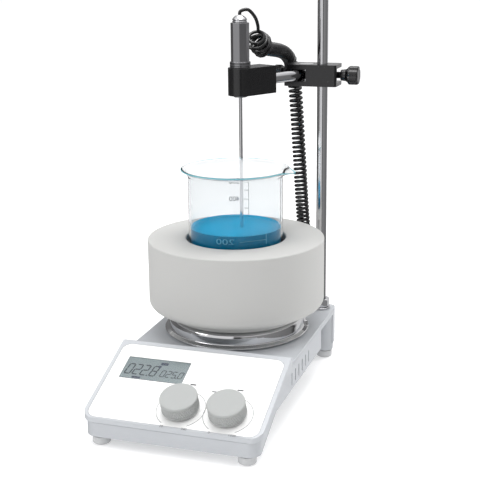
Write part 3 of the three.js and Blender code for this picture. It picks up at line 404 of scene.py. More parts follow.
finishes = {
    "paint": makeFinish("satinGreyPaint", tone(186, 189, 193), 0.36, grain=0.012, grainSize=0.45,
                        Coat_Weight=0.12, Coat_Roughness=0.3),
    "bezel": makeFinish("paleBezelPaint", tone(191, 194, 198), 0.34, grain=0.01, grainSize=0.45,
                        Coat_Weight=0.15, Coat_Roughness=0.25),
    "label": makeFinish("whiteLabelFilm", tone(250, 250, 249), 0.3, drift=0.01, grain=0.004, grainSize=0.3,
                        Coat_Weight=0.2, Coat_Roughness=0.15),
    "display_clear": makeFinish("clearDisplayWindow", (0.95, 0.98, 0.98), 0.04, drift=0.005, spread=0.02,
                                grain=0, Transmission_Weight=1.0, IOR=1.3),
    "display": makeFinish("greyLiquidCrystal", tone(143, 152, 155), 0.35, drift=0.03, driftSize=15,
                          grain=0.003, grainSize=0.25),
    "knob": makeFinish("lightGreyKnobPlastic", tone(168, 170, 169), 0.55, grain=0.02, grainSize=0.35,
                       drift=0.015, driftSize=12),
    "foot": makeFinish("greyFootRubber", tone(198, 199, 200), 0.75, grain=0.03, grainSize=0.5,
                       Sheen_Weight=0.1),
    "black": makeFinish("satinBlack", tone(12, 12, 14), 0.24, drift=0.15, driftSize=12, grain=0.004,
                        grainSize=2.2, spread=0.03, Specular_IOR_Level=0.7),
    "steel": makeFinish("polishedSteel", tone(214, 214, 216), 0.1, spread=0.04, drift=0.04,
                        driftSize=6, grain=0.0015, grainSize=0.5, stretch=(1, 1, 4), Metallic=1.0),
    "polished": makeFinish("mirrorSteel", tone(222, 222, 223), 0.045, spread=0.02, drift=0.02,
                           driftSize=25, grain=0.0012, grainSize=3, Metallic=1.0),
    "aluminium": makeFinish("machinedAluminium", tone(198, 200, 203), 0.35, grain=0.006, grainSize=0.4,
                            stretch=(0.1, 1, 1), Metallic=1.0),
    "jacket": makeFinish("matteJacket", tone(188, 188, 186), 0.72, drift=0.012, driftSize=30, grain=0.02,
                         grainSize=0.4),
    "glass": makeFinish("clearGlass", (0.78, 0.796, 0.804), 0.012, drift=0.002, spread=0.01, grain=0,
                        Transmission_Weight=1.0, IOR=1.24),
    # the lighter blue of the liquid's lit top; its sides take a painted shade further down
    "liquid": makeFinish("blueLiquid", tone(2, 178, 228), 0.04, drift=0.12, driftSize=25, spread=0.01,
                         grain=0, IOR=1.33),
    "board": makeFinish("greenBoard", tone(35, 105, 70), 0.5, drift=0.2, driftSize=3),
    "heater": makeFinish("micaHeater", tone(186, 168, 130), 0.7, drift=0.2, driftSize=2, grain=0.03),
    "magnet": makeFinish("nickelMagnet", tone(170, 172, 176), 0.25, Metallic=1.0),
    "ptfe": makeFinish("whitePtfe", tone(240, 240, 238), 0.45, grain=0.006),
    "cord": makeFinish("blackCordSheath", tone(12, 12, 14), 0.24, drift=0.2, driftSize=8, grain=0.004,
                       grainSize=1.2, spread=0.03, Specular_IOR_Level=0.75),
}
segmentInk = makeFinish("darkSegments", tone(24, 30, 44), 0.35, drift=0.05, driftSize=3, grain=0)
flagInk = makeFinish("blueFlag", tone(58, 66, 88), 0.35, drift=0.05, driftSize=3, grain=0)
greyInk = makeFinish("greyPrint", tone(122, 124, 125), 0.5, drift=0.05, driftSize=5, grain=0)
darkInk = makeFinish("indicatorWindow", tone(62, 64, 66), 0.25, drift=0.05, driftSize=3, grain=0)
glassInk = makeFinish("whiteGlassPrint", tone(150, 153, 155), 0.6, drift=0.03, driftSize=5, grain=0)
blueInk = makeFinish("paleBluePrint", tone(120, 205, 232), 0.6, drift=0.03, driftSize=5, grain=0)
# painted shade: a darker blue for the liquid's sides, standing in for the shade the jacket casts on them; the lit
# top keeps the lighter blueLiquid
liquidSideShade = makeFinish("paintedShadeLiquidSide", tone(0, 150, 200), 0.03, drift=0.05, driftSize=20, grain=0, IOR=1.33)
# painted reflection: a cyan rim finish that stands in for the blue liquid's light carried round the glass rim
rimReflectionGlass = makeFinish("paintedReflectionRim", (0.3, 0.76, 0.86), 0.05, drift=0.05, driftSize=20, grain=0,
                      Transmission_Weight=0.45, IOR=1.24)
gripMetal = makeFinish("anodisedGrip", tone(150, 150, 152), 0.3, drift=0.08, driftSize=15, grain=0.004,
                       grainSize=0.4, stretch=(1, 1, 0.1), Metallic=1.0)
brass = makeFinish("brassPins", tone(208, 186, 126), 0.3, drift=0.05, driftSize=2, grain=0.004,
                   Metallic=1.0)

slotOf = {row["node"]: row["material_slot"] for row in frame["record"]["subparts"]}
bodyOf = {node: body for body, members in frame["record"]["behaviour"]["bodies"].items()
          for node in members}


def paintWith(piece, finish):
    piece.data.materials.clear()
    piece.data.materials.append(finish)


for node, piece in cadNodes.items():
    paintWith(piece, finishes[slotOf[node]])
for piece in [probePlug] + [cordPieces[name][0] for name in cordPieces]:
    paintWith(piece, finishes["steel" if piece == probePlug else "cord"])
print("finishes made:", len(bpy.data.materials))


def finishPiece(piece, node, replace=True, finish=None, slot=None, body=None):
    # the piece takes the node's slot and body, and stands for it unless it only sits on it
    slot = slot or slotOf[node]
    paintWith(piece, finish or finishes[slot])
    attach(piece, body or bodyOf[node])
    if replace:
        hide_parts(node)
    return piece


def paintWhere(piece, chosen, finish):
    # the faces picked by a test on their normals take a second finish
    normals = np.zeros(len(piece.data.polygons) * 3)
    piece.data.polygons.foreach_get("normal", normals)
    piece.data.materials.append(finish)
    piece.data.polygons.foreach_set("material_index", chosen(normals.reshape(-1, 3)).astype(np.int32))


def softened(name, node, edge, segments=3, angle=30):
    # merged copy of a CAD solid with whole flat faces and rounded edges
    work = bmesh.new()
    work.from_mesh(cadNodes[node].data)
    bmesh.ops.remove_doubles(work, verts=work.verts, dist=2e-6)
    bmesh.ops.dissolve_limit(work, angle_limit=math.radians(0.8), verts=work.verts, edges=work.edges)
    mesh = bpy.data.meshes.new(name)
    work.to_mesh(mesh)
    work.free()
    mesh.shade_smooth()
    mesh.set_sharp_from_angle(angle=math.radians(angle))
    piece = bpy.data.objects.new(name, mesh)
    scene.collection.objects.link(piece)
    bevel = piece.modifiers.new("roundedEdges", "BEVEL")
    bevel.width = edge * mm
    bevel.segments = segments
    bevel.limit_method = "ANGLE"
    bevel.angle_limit = math.radians(angle)
    bevel.harden_normals = True
    return finishPiece(piece, node)


# housing, covers and clamp castings

softEdges = {
    "housing_shell": ("base_housing", 0.5), "housing_cover": ("top_cover", 0.45),
    "panel_frame": ("front_bezel", 0.5), "panel_film": ("panel_label", 0.08),
    "rear_plate": ("rear_panel", 0.2), "underside_plate": ("bottom_plate", 0.3),
    "inlet_body": ("power_inlet", 0.35), "switch_surround": ("switch_frame", 0.4),
    "switch_rocker": ("power_switch", 0.5), "boss_clamp": ("boss_head", 0.55),
    "probe_holder": ("sensor_holder", 0.6), "probe_grip": ("probe_handle", 0.3),
    "transformer_block": ("power_transformer", 0.8),
}
for name, (node, edge) in softEdges.items():
    casting = softened(name, node, edge)
    if name == "probe_grip":
        paintWith(casting, gripMetal)
print("softened castings:", len(softEdges))


# feet

footShape = {"rim": 0.8, "grooveDepth": 0.9, "grooveHeight": 1.3}


def makeFoot(name, node):
    low, high = boxOf(node)
    radius, height = (high[0] - low[0]) / 2, high[2]
    neck = radius - footShape["grooveDepth"]
    return turned(name, [
        (0.5, 0), (radius - 1.6, 0, 0.3), (radius - 0.9, 0.5, 0.3), (radius, 1.1, footShape["rim"]),
        (radius, height - footShape["grooveHeight"], 0.4), (neck, height - 1.1, 0.2), (neck, height),
        (0.5, height),
    ], [*(low + high)[:2] / 2, 0], around=72)


for corner in ("front_left", "front_right", "rear_left", "rear_right"):
    finishPiece(makeFoot("rubber_foot_" + corner, "foot_" + corner), "foot_" + corner)


# hot plate

plateLow, plateHigh = boxOf("hot_plate")
plateCentre = np.array([*(plateLow + plateHigh)[:2] / 2, 0])
plateShape = {"brimWidth": 4.5, "brimThickness": 1.3, "wall": 2.6, "crown": 5.2}


def makePlate(shape):
    brim, top, base = (plateHigh[0] - plateLow[0]) / 2, plateHigh[2], plateLow[2]
    crown = brim - shape["brimWidth"]
    inner = crown - shape["wall"]
    return turned("steel_plate", [
        (0.5, top), (crown, top, shape["crown"]), (crown, base + shape["brimThickness"] + 1.2, 1.2),
        (brim - 0.6, base + shape["brimThickness"], 0.3), (brim, base + shape["brimThickness"] - 0.3, 0.3),
        (brim, base, 0.3), (inner, base, 0.3), (inner, top - shape["wall"], 2), (0.5, top - shape["wall"]),
    ], plateCentre, around=160)


finishPiece(makePlate(plateShape), "hot_plate")


# insulating jacket

jacketLow, jacketHigh = boxOf("insulating_jacket")
jacketShape = {"bore": 45.5, "seatRadius": 61.5, "seatHeight": 8.2, "topEdge": 1.3, "bottomFillet": 7.5}


def makeJacket(shape):
    radius, top, base = (jacketHigh[0] - jacketLow[0]) / 2, jacketHigh[2], jacketLow[2]
    return turned("foam_jacket", [
        (shape["bore"], base, 0.4), (shape["seatRadius"], base, 1),
        (shape["seatRadius"], base + shape["seatHeight"], 1.5),
        (radius, base + shape["seatHeight"], shape["bottomFillet"]), (radius, top, shape["topEdge"]),
        (shape["bore"], top, 1.6),
    ], plateCentre, around=180, looped=True)


finishPiece(makeJacket(jacketShape), "insulating_jacket")


# beaker, its print and the liquid

beakerLow, beakerHigh = boxOf("beaker")
beakerShape = {"radius": 43.2, "wall": 1.5, "floor": 2.6, "rimRadius": 49.6, "flare": 7, "spout": 7.4,
               "spoutHalfAngle": 0.36, "spoutDrop": 1.8, "around": 192}


def makeBeaker(shape):
    # the profile turned round the axis; near the spout every point above the neck moves outward by
    # spout * rise * (half a cosine wave over the spout's angle) and down by spoutDrop times the same;
    # the faces between two profile points on the rim's bead are handed back for a painted reflection:
    # a cyan finish that stands in for the blue liquid's light carried round the glass rim
    base, rim, radius, wall = beakerLow[2], beakerHigh[2], shape["radius"], shape["wall"]
    neck, inner = rim - shape["flare"], radius - shape["wall"]
    profile = rounded([
        (0.5, base + 0.5), (radius - 9, base + 0.3, 2), (radius - 7, base, 0.6), (radius, base, 5.5),
        (radius, neck, 4), (shape["rimRadius"] - 4.4, rim - 2.6, 4), (shape["rimRadius"], rim - 0.9, 0.6),
        (shape["rimRadius"] - 0.2, rim, 0.5), (shape["rimRadius"] - wall - 0.4, rim, 0.5),
        (shape["rimRadius"] - 5.5, rim - 1.6, 4), (inner, neck, 4), (inner, base + shape["floor"], 4.5),
        (0.5, base + shape["floor"]),
    ], steps=7)
    rows = ringRows(profile, shape["around"])
    angle = np.arctan2(rows[..., 1], rows[..., 0])
    rise = np.clip((rows[..., 2] - neck) / (rim - neck), 0, 1) ** 1.3
    swell = np.where(np.abs(angle) < shape["spoutHalfAngle"],
                     (0.5 + 0.5 * np.cos(math.pi * angle / shape["spoutHalfAngle"])) ** 1.4, 0)
    stretched = 1 + shape["spout"] * rise * swell / np.hypot(rows[..., 0], rows[..., 1])
    rows[..., :2] *= stretched[..., None]
    rows[..., 2] -= shape["spoutDrop"] * rise * swell
    piece = skin("glass_beaker", placed(rows, plateCentre))
    onRim = (profile[:, 0] > shape["rimRadius"] - 1.7) & (profile[:, 1] > rim - 1.2)
    rimFaces = np.zeros(len(piece.data.polygons), bool)
    rimFaces[:shape["around"] * (len(profile) - 1)] = np.repeat(onRim[1:] & onRim[:-1], shape["around"])
    return piece, rimFaces


beakerPiece, beakerRim = makeBeaker(beakerShape)
# painted reflection: the rim's bead faces take the cyan finish that stands in for the liquid's light seen in the
# glass rim
paintWhere(finishPiece(beakerPiece, "beaker"), lambda normals: beakerRim, rimReflectionGlass)
liquidLow, liquidHigh = boxOf("liquid")
liquidShape = {"radius": 41.35, "meniscus": 1.4, "meniscusWidth": 2.2}


def makeLiquid(shape):
    # a body with a curved edge that climbs the glass
    base, top, radius = liquidLow[2] + 0.2, liquidHigh[2] - shape["meniscus"], shape["radius"]
    return turned("blue_liquid", [
        (0.5, base), (radius, base, 4.4), (radius, top + shape["meniscus"], 0.15),
        (radius - 0.3, top + shape["meniscus"], 0.1), (radius - shape["meniscusWidth"], top, 2), (0.5, top),
    ], plateCentre, around=160)


# painted shade: faces not turned upward (the liquid's sides and underside) take the darker blue of the shaded
# side, and the top keeps the lit blue
paintWhere(finishPiece(makeLiquid(liquidShape), "liquid"),
           lambda normals: normals[:, 2] < 0.3, liquidSideShade)


def prisms(outlines, low, high):
    # flat outlines, each a run of (x, y) points, raised from low to high in one mesh
    points, faces, start = [], [], 0
    for outline in outlines:
        line, count = np.asarray(outline, float), len(outline)
        area = np.sum(line[:, 0] * np.roll(line[:, 1], -1) - np.roll(line[:, 0], -1) * line[:, 1])
        line = line if area > 0 else line[::-1]
        points += [np.c_[line, np.full(count, low)], np.c_[line, np.full(count, high)]]
        lower, upper = start + np.arange(count), start + count + np.arange(count)
        faces += [lower[::-1].tolist(), upper.tolist()]
        faces += np.stack([lower, np.roll(lower, -1), np.roll(upper, -1), upper], -1).tolist()
        start += 2 * count
    return np.vstack(points), faces


def textOutline(text, size, place):
    # words as flat mesh points and faces, centred on place
    data = bpy.data.curves.new("words", "FONT")
    data.body, data.size, data.extrude = text, size, 0.01
    data.align_x, data.align_y = "CENTER", "CENTER"
    data.resolution_u = 3
    words = bpy.data.objects.new("words", data)
    mesh = bpy.data.meshes.new_from_object(words)
    points = np.zeros(len(mesh.vertices) * 3)
    mesh.vertices.foreach_get("co", points)
    faces = [list(face.vertices) for face in mesh.polygons]
    bpy.data.objects.remove(words)
    bpy.data.curves.remove(data)
    bpy.data.meshes.remove(mesh)
    return points.reshape(-1, 3) + np.array([*place, 0]), faces


def joined(parts):
    points, faces, start = [], [], 0
    for some, their in parts:
        points.append(some)
        faces += [[start + index for index in face] for face in their]
        start += len(some)
    return np.vstack(points), faces


def arcBand(centre, radius, width, start, end, steps=40):
    angle = np.radians(np.linspace(start, end, steps))
    ray = np.stack([np.cos(angle), np.sin(angle)], -1)
    return np.vstack([centre + (radius + width / 2) * ray, centre + (radius - width / 2) * ray[::-1]])


def wrapped(points, radius, angle, mirrored=False):
    # flat print bent round the beaker: x becomes an arc length and z stands off the glass
    turn = angle + (-1 if mirrored else 1) * points[:, 0] / radius
    out = radius + points[:, 2]
    return plateCentre + np.stack([out * np.cos(turn), out * np.sin(turn), points[:, 1]], -1)


printShape = {"perHundred": 17.6, "firstHeight": 110.3, "tick": 6.5, "shortTick": 4.2, "line": 0.45,
              "angle": 1.6, "numberSize": 6.8, "numberPlace": 14, "front": {
                  "height": 143.6, "angle": -1.25, "size": 7.4, "widen": 1.55, "place": 9.5,
                  "bar": (-29, -3.5), "post": [(-29.4, -4), (-28.9, -4), (-28.9, 5), (-29.4, 5)]}}


def makeBeakerPrint(shape):
    bar = lambda x0, x1, y: [(x0, y - shape["line"] / 2), (x1, y - shape["line"] / 2),
                             (x1, y + shape["line"] / 2), (x0, y + shape["line"] / 2)]
    heights = {level: shape["firstHeight"] + shape["perHundred"] * (level / 100 - 1)
               for level in range(100, 550, 50)}
    bars = [bar(0, shape["tick"] if level % 100 == 0 else shape["shortTick"], height)
            for level, height in heights.items()]
    bars.append([(-0.2, heights[100]), (0.2, heights[100]), (0.2, heights[500]), (-0.2, heights[500])])
    parts = [prisms(bars, 0.02, 0.1)]
    for level in (100, 200, 300, 400, 500):
        parts.append(textOutline(str(level), shape["numberSize"], (shape["numberPlace"], heights[level])))
    points, faces = joined(parts)
    points[:, 2] = np.clip(points[:, 2], 0.02, 0.08)
    piece = newMesh("beaker_scale", wrapped(points, beakerShape["radius"], shape["angle"]), faces)
    finishPiece(piece, "beaker", replace=False, finish=glassInk)
    front = shape["front"]
    figures, faces = textOutline("200", front["size"], (0, 0))
    figures = figures * (front["widen"], 1, 1) + (front["place"], 0, 0)
    points, faces = joined([prisms([bar(*front["bar"], 0), front["post"]], 0.02, 0.1), (figures, faces)])
    points = points + (0, front["height"], 0)
    points[:, 2] = np.clip(points[:, 2], 0.02, 0.08)
    piece = newMesh("beaker_front_mark",
                    wrapped(points, beakerShape["radius"], front["angle"], mirrored=True),
                    [face[::-1] for face in faces])
    finishPiece(piece, "beaker", replace=False, finish=blueInk)


makeBeakerPrint(printShape)
print("vessel made")


# stir bar

barLow, barHigh = boxOf("stir_bar")


def makeStirBar(ring=0.3):
    # a rod with rounded ends and a low ring round its middle
    half, radius = (barHigh[0] - barLow[0]) / 2, (barHigh[2] - barLow[2]) / 2 - ring
    return turned("coated_stir_bar", [
        (0.4, -half), (radius - 1.4, -half, 0.8), (radius, -half + 2.6, 2), (radius, -1.5, 0.3),
        (radius + ring, -1.3, 0.2), (radius + ring, 1.3, 0.2), (radius, 1.5, 0.3), (radius, half - 2.6, 2),
        (radius - 1.4, half, 0.8), (0.4, half),
    ], (barLow + barHigh) / 2, axis=(1, 0, 0), around=64)


finishPiece(makeStirBar(), "stir_bar")


# control panel: knobs, display and print

knobJoint = {side: cadJoints[side + "_knob_turn"] for side in ("heat", "stir")}
panelOut = unit(np.array(knobJoint["heat"]["axis"], float))
panelAxes = np.stack([np.array([1.0, 0, 0]), np.cross(panelOut, (1, 0, 0)), panelOut])
labelLow, labelHigh = boxOf("panel_label")
panelShape = {"knobFromFront": 20, "knobBase": 2, "display": (-62.6, 47.3, -6.3, 72.9),
              "displayFace": -0.9, "displayDepth": 7.9, "displayLap": 0.7}
knobSpot = {side: np.array(joint["pos_m"]) / mm for side, joint in knobJoint.items()}
panelOrigin = (knobSpot["heat"] - panelShape["knobFromFront"] * panelAxes[1]
               - panelShape["knobBase"] * panelAxes[2])
panelOrigin[0] = (labelLow[0] + labelHigh[0]) / 2
knobShape = {"radius": 15.7, "height": 12, "knurls": 50, "knurlDepth": 0.95, "knurlRows": 4,
             "smoothTop": 1.5, "smoothFoot": 0.9, "boreRadius": 3.3, "boreDepth": 7.3}


def makeKnob(name, spot, shape):
    # diamond knurl: two sets of slanting ridges cross, and each point stands at the lower of the two,
    # a triangle wave of turn * knurls / 2 plus or minus height * rows / 2
    radius, height = shape["radius"], shape["height"]
    samples = shape["knurlRows"] * 6
    side = np.linspace(shape["smoothFoot"], height - shape["smoothTop"], samples)
    top = rounded([(radius, height - shape["smoothTop"]), (radius, height, 1.1), (radius - 4, height)])[1:]
    cap = np.array([(radius - 4, height), (radius - 9, height - 0.06), (0.5, height - 0.1)])
    bore = shape["boreRadius"]
    foot = np.array([(bore, shape["boreDepth"]), (bore, 0.3), (bore + 0.3, 0), (radius - 0.6, 0),
                     (radius - 0.15, 0.35)])
    profile = np.vstack([[(0.5, shape["boreDepth"])], foot, np.c_[np.full(samples, radius), side],
                         top, cap])
    rows = ringRows(profile, shape["knurls"] * 6)
    turn = np.arctan2(rows[..., 1], rows[..., 0]) / (2 * math.pi) * shape["knurls"]
    climb = (rows[..., 2] - shape["smoothFoot"]) / (side[-1] - side[0]) * shape["knurlRows"]
    wave = lambda value: np.abs((value % 1) * 2 - 1)
    ridge = np.minimum(wave(turn + climb / 2), wave(turn - climb / 2))
    onSide = np.zeros(len(profile))
    firstSide = 1 + len(foot)
    onSide[firstSide + 1:firstSide + samples - 1] = 1
    rows[..., :2] *= (1 - onSide[:, None] * shape["knurlDepth"] * (1 - ridge) / radius)[..., None]
    return skin(name, placed(rows, spot, panelAxes), creaseAngle=50)


for side in ("heat", "stir"):
    finishPiece(makeKnob(side + "_dial_knob", knobSpot[side], knobShape), side + "_knob")

displayShape = {"bigPitch": 7.1, "bigSize": (4.9, 11.8), "smallPitch": 5.05, "smallSize": (3.5, 7.2),
                "slant": 0.16, "gap": 0.12, "dotWidth": 1.2, "dotRoom": 0.17,
                "stroke": 1.12, "smallStroke": 0.8064, "bigPlace": (1.9, 6),
                "smallPlace": (34, 6.5), "flags": [(30.4, 20, 37.2, 23, 0.5), (29.6, 16.6, 32.2, 19, 0.4),
                                                   (10.3, 1.3, 18.4, 3.6, 0.5)]}
segmentEnds = {"top": (0, 1, 1, 1), "middle": (0, 0.5, 1, 0.5), "bottom": (0, 0, 1, 0),
               "upperLeft": (0, 1, 0, 0.5), "upperRight": (1, 1, 1, 0.5), "lowerLeft": (0, 0.5, 0, 0),
               "lowerRight": (1, 0.5, 1, 0)}
digitSegments = {
    "0": ("top", "bottom", "upperLeft", "upperRight", "lowerLeft", "lowerRight"),
    "2": ("top", "middle", "bottom", "upperRight", "lowerLeft"),
    "5": ("top", "middle", "bottom", "upperLeft", "lowerRight"),
    "8": tuple(segmentEnds),
}


def digitOutlines(text, corner, size, pitch, stroke, shape):
    # each lit segment is a bar with pointed ends, leaning with the figure; a dot takes dotRoom of a pitch
    outlines, step, shift = [], 0, 0
    for figure in text:
        left = corner[0] + step * pitch + shift
        if figure == ".":
            dot = rectangle(left - shape["dotWidth"], corner[1] - stroke / 2, left + 0.1,
                            corner[1] + stroke / 2 + 0.2, 0.2)
            outlines.append(rounded(dot, closed=True))
            shift = shape["dotRoom"] * pitch
            continue
        for segment in digitSegments[figure]:
            x0, y0, x1, y1 = segmentEnds[segment]
            start = np.array([x0 * size[0], y0 * size[1]])
            end = np.array([x1 * size[0], y1 * size[1]])
            ahead = unit(end - start)
            beside = np.array([-ahead[1], ahead[0]]) * stroke / 2
            start, end = start + ahead * shape["gap"], end - ahead * shape["gap"]
            bar = np.array([start, start + ahead * stroke / 2 + beside, end - ahead * stroke / 2 + beside,
                            end, end - ahead * stroke / 2 - beside, start + ahead * stroke / 2 - beside])
            bar[:, 0] += bar[:, 1] * shape["slant"]
            outlines.append(bar + (left, corner[1]))
        step += 1
    return outlines


def onPanel(name, parts, node, finish):
    points, faces = joined(parts)
    piece = newMesh(name, placed(points, panelOrigin, panelAxes), faces)
    slot = "display" if "display" in name else "label"
    return finishPiece(piece, node, replace=False, finish=finish, slot=slot)


def makeDisplay(panel, shape):
    left, front, right, back = panel["display"]
    face = panel["displayFace"]
    lap = panel["displayLap"]
    finishPiece(block("display_plate", rectangle(left - lap, front - lap, right + lap, back + lap, 0.4),
                      face - panel["displayDepth"], face, 0.15, panelOrigin, panelAxes), "display_module")
    big = digitOutlines("022.8", np.add((left, front), shape["bigPlace"]), shape["bigSize"],
                        shape["bigPitch"], shape["stroke"], shape)
    small = digitOutlines("025.0", np.add((left, front), shape["smallPlace"]), shape["smallSize"],
                          shape["smallPitch"], shape["smallStroke"], shape)
    onPanel("display_digits", [prisms(big + small, face - 0.05, face + 0.08)], "display_window",
            segmentInk)
    flags = [rounded(rectangle(left + x0, front + y0, left + x1, front + y1, turn), closed=True)
             for x0, y0, x1, y1, turn in shape["flags"]]
    onPanel("display_flags", [prisms(flags, face - 0.05, face + 0.08)], "display_window", flagInk)


makeDisplay(panelShape, displayShape)
scaleShape = {"radius": 20.4, "width": 0.42, "from": -58, "to": 238, "raise": 0.05,
              "lamps": ((4.5, 48.3), (45.5, 48.4)), "paleLamp": (24.9, 43.3), "lampSize": (5.2, 1.4),
              "numberSize": 3.2, "numberTurn": 6, "numberOut": 1.5, "numberDrop": 1.2}


def makePanelPrint(shape):
    bands, numbers, lamps = [], [], []
    for side, (low, high) in {"heat": ("20", "340"), "stir": ("0", "1500")}.items():
        centre = np.array([knobSpot[side][0] - panelOrigin[0], panelShape["knobFromFront"]])
        bands.append(arcBand(centre, shape["radius"], shape["width"], shape["from"], shape["to"]))
        for text, angle in ((low, shape["to"] + shape["numberTurn"]),
                            (high, shape["from"] - shape["numberTurn"])):
            ray = np.array([math.cos(math.radians(angle)), math.sin(math.radians(angle))])
            place = centre + ray * (shape["radius"] + shape["numberOut"]) - (0, shape["numberDrop"])
            numbers.append(textOutline(text, shape["numberSize"], place))
    wide, deep = shape["lampSize"]
    for u, v in shape["lamps"] + (shape["paleLamp"],):
        lamp = rectangle(u - wide / 2, v - deep / 2, u + wide / 2, v + deep / 2, 0.5)
        lamps.append(rounded(lamp, closed=True))
    pale = lamps.pop()
    onPanel("dial_scales", [prisms(bands, -0.03, shape["raise"])], "panel_label", greyInk)
    onPanel("dial_numbers", numbers, "panel_label", greyInk)
    for name, outlines, ink in (("indicator_lamps", lamps, darkInk), ("timer_lamp", [pale], greyInk)):
        onPanel(name, [prisms(outlines, -0.03, shape["raise"] + 0.02)], "panel_label", ink)


makePanelPrint(scaleShape)
print("control panel made")


# rod stand

rodLow, rodHigh = boxOf("stand_rod")
rodAxis = np.array([*(rodLow + rodHigh)[:2] / 2, 0])
rodRadius = (rodHigh[0] - rodLow[0]) / 2
finishPiece(turned("steel_rod", [(0.4, rodLow[2]), (rodRadius, rodLow[2], 0.6), (rodRadius, rodHigh[2], 1),
                                 (0.4, rodHigh[2])], rodAxis), "stand_rod")
washerLow, washerHigh = boxOf("rod_washer")
washerRadius = (washerHigh[0] - washerLow[0]) / 2
finishPiece(turned("steel_washer", [
    (rodRadius + 0.2, washerLow[2], 0.1), (washerRadius, washerLow[2], 0.3),
    (washerRadius, washerHigh[2], 0.5), (rodRadius + 0.2, washerHigh[2], 0.1),
], rodAxis, looped=True), "rod_washer")
nutLow, nutHigh = boxOf("rod_nut")


def makeNut(acrossFlats=15.5, chamfer=0.9):
    # a hexagon whose rims are cut back by a cone, so the corners are rounded off and the flats stay
    corner = acrossFlats / 2 / math.cos(math.pi / 6)
    around = 144
    angle = np.linspace(0, 2 * math.pi, around, endpoint=False)
    flat = (angle + math.pi / 6) % (math.pi / 3) - math.pi / 6
    hexagon = acrossFlats / 2 / np.cos(flat)
    rise = np.array([0, 0.01, chamfer * 0.5, chamfer])
    cone = np.array([acrossFlats / 2 - 0.5, acrossFlats / 2 - 0.1, corner - chamfer * 0.75, corner + 0.1])
    heights, cone = np.concatenate([nutLow[2] + rise, (nutHigh[2] - rise)[::-1]]), np.r_[cone, cone[::-1]]
    radius = np.minimum(hexagon[None], cone[:, None])
    inner = np.full(around, rodRadius + 0.15)
    radius = np.vstack([inner, radius, inner])
    heights = np.concatenate([[nutLow[2]], heights, [nutHigh[2]]])
    rows = np.stack([radius * np.cos(angle), radius * np.sin(angle), heights[:, None] + 0 * angle], -1)
    return skin("steel_nut", placed(rows, rodAxis), looped=True, creaseAngle=25)


finishPiece(makeNut(), "rod_nut")


# clamp screws, swivel and arm

clampLow, clampHigh = boxOf("boss_head")
screwLow, screwHigh = boxOf("clamp_thumbscrew")
screwSpot = np.array(cadJoints["clamp_screw_turn"]["pos_m"]) / mm
lockLow, lockHigh = boxOf("arm_lock_screw")
lockSpot = np.array(cadJoints["lock_screw_turn"]["pos_m"]) / mm
swivelSpot = np.array(cadJoints["arm_swing"]["pos_m"]) / mm


def makeGripScrew(name, corners, spot, axis, gripFrom, gripTo, grip, around=160):
    # a turned screw whose head has flutes: over the grip the radius falls by
    # depth * (half a cosine wave, raised to a power) as it goes round
    profile = rounded(corners)
    rows = ringRows(profile, around)
    turn = np.arctan2(rows[..., 1], rows[..., 0])
    ends = np.clip(np.minimum(profile[:, 1] - gripFrom, gripTo - profile[:, 1]) / 1.2 + 1, 0, 1)
    wide = np.clip((profile[:, 0] - grip["core"]) / 1.5, 0, 1)
    flute = grip["depth"] * (0.5 + 0.5 * np.cos(turn * grip["count"])) ** grip["sharpness"]
    shrink = 1 - flute * (ends * wide)[:, None] / np.maximum(np.hypot(rows[..., 0], rows[..., 1]), 1)
    rows[..., :2] *= shrink[..., None]
    return skin(name, placed(rows, spot, axesAlong(axis, across=(0, 1, 0))))


def makeThumbscrew():
    tip, end = screwLow[0], screwHigh[0]
    radius, neck = (screwHigh[1] - screwLow[1]) / 2, clampHigh[0] + 2
    head = end - 10
    dense = [(radius, value) for value in np.linspace(head + 1.4, end - 1.6, 9)]
    return makeGripScrew("palm_screw", [
        (0.4, tip), (2.5, tip, 0.3), (3, tip + 0.8, 0.2), (3, neck, 0.3), (5, neck, 0.6),
        (5.6, head - 2, 1.5), (7.2, head, 1.2), (radius - 0.6, head + 0.3, 0.8), *dense,
        (radius - 0.3, end - 0.5, 0.8), (radius - 3, end, 0.8), (0.4, end - 0.3),
    ], (0, screwSpot[1], screwSpot[2]), (1, 0, 0), head + 0.6, end - 0.4,
        {"count": 8, "depth": 1.15, "sharpness": 1.6, "core": 6.2})


def makeLockScrew():
    end, tip, radius = lockLow[0], lockHigh[0], (lockHigh[1] - lockLow[1]) / 2
    dense = [(radius, value) for value in np.linspace(end + 1.2, end + 6.6, 7)]
    return makeGripScrew("arm_lock_knob", [
        (0.4, end), (radius - 0.9, end, 0.5), (radius, end + 0.8, 0.4), *dense,
        (radius - 0.4, end + 7.4, 0.5), (3.2, end + 9, 0.6), (3.2, clampLow[0] - 1, 0.3),
        (2, clampLow[0] - 1, 0.2), (2, tip - 0.6, 0.2), (1.5, tip, 0.2), (0.4, tip),
    ], (0, lockSpot[1], lockSpot[2]), (1, 0, 0), end + 0.8, end + 7,
        {"count": 24, "depth": 0.4, "sharpness": 1, "core": 3.6})


finishPiece(makeThumbscrew(), "clamp_thumbscrew")
finishPiece(makeLockScrew(), "arm_lock_screw")
swivelAxis = np.array([*swivelSpot[:2], 0])
armWay = unit(swivelAxis - probeAxis)
armLength = float(np.linalg.norm(swivelAxis - probeAxis))
armShape = {"radius": 5, "start": 24, "pastSwivel": 3, "chamfer": 0.5}
finishPiece(turned("steel_arm", [
    (0.4, armShape["start"]), (armShape["radius"], armShape["start"], armShape["chamfer"]),
    (armShape["radius"], armLength + armShape["pastSwivel"], armShape["chamfer"]),
    (0.4, armLength + armShape["pastSwivel"]),
], probeAxis + (0, 0, swivelSpot[2]), axis=armWay), "support_arm")
print("stand and clamp made")


# temperature probe

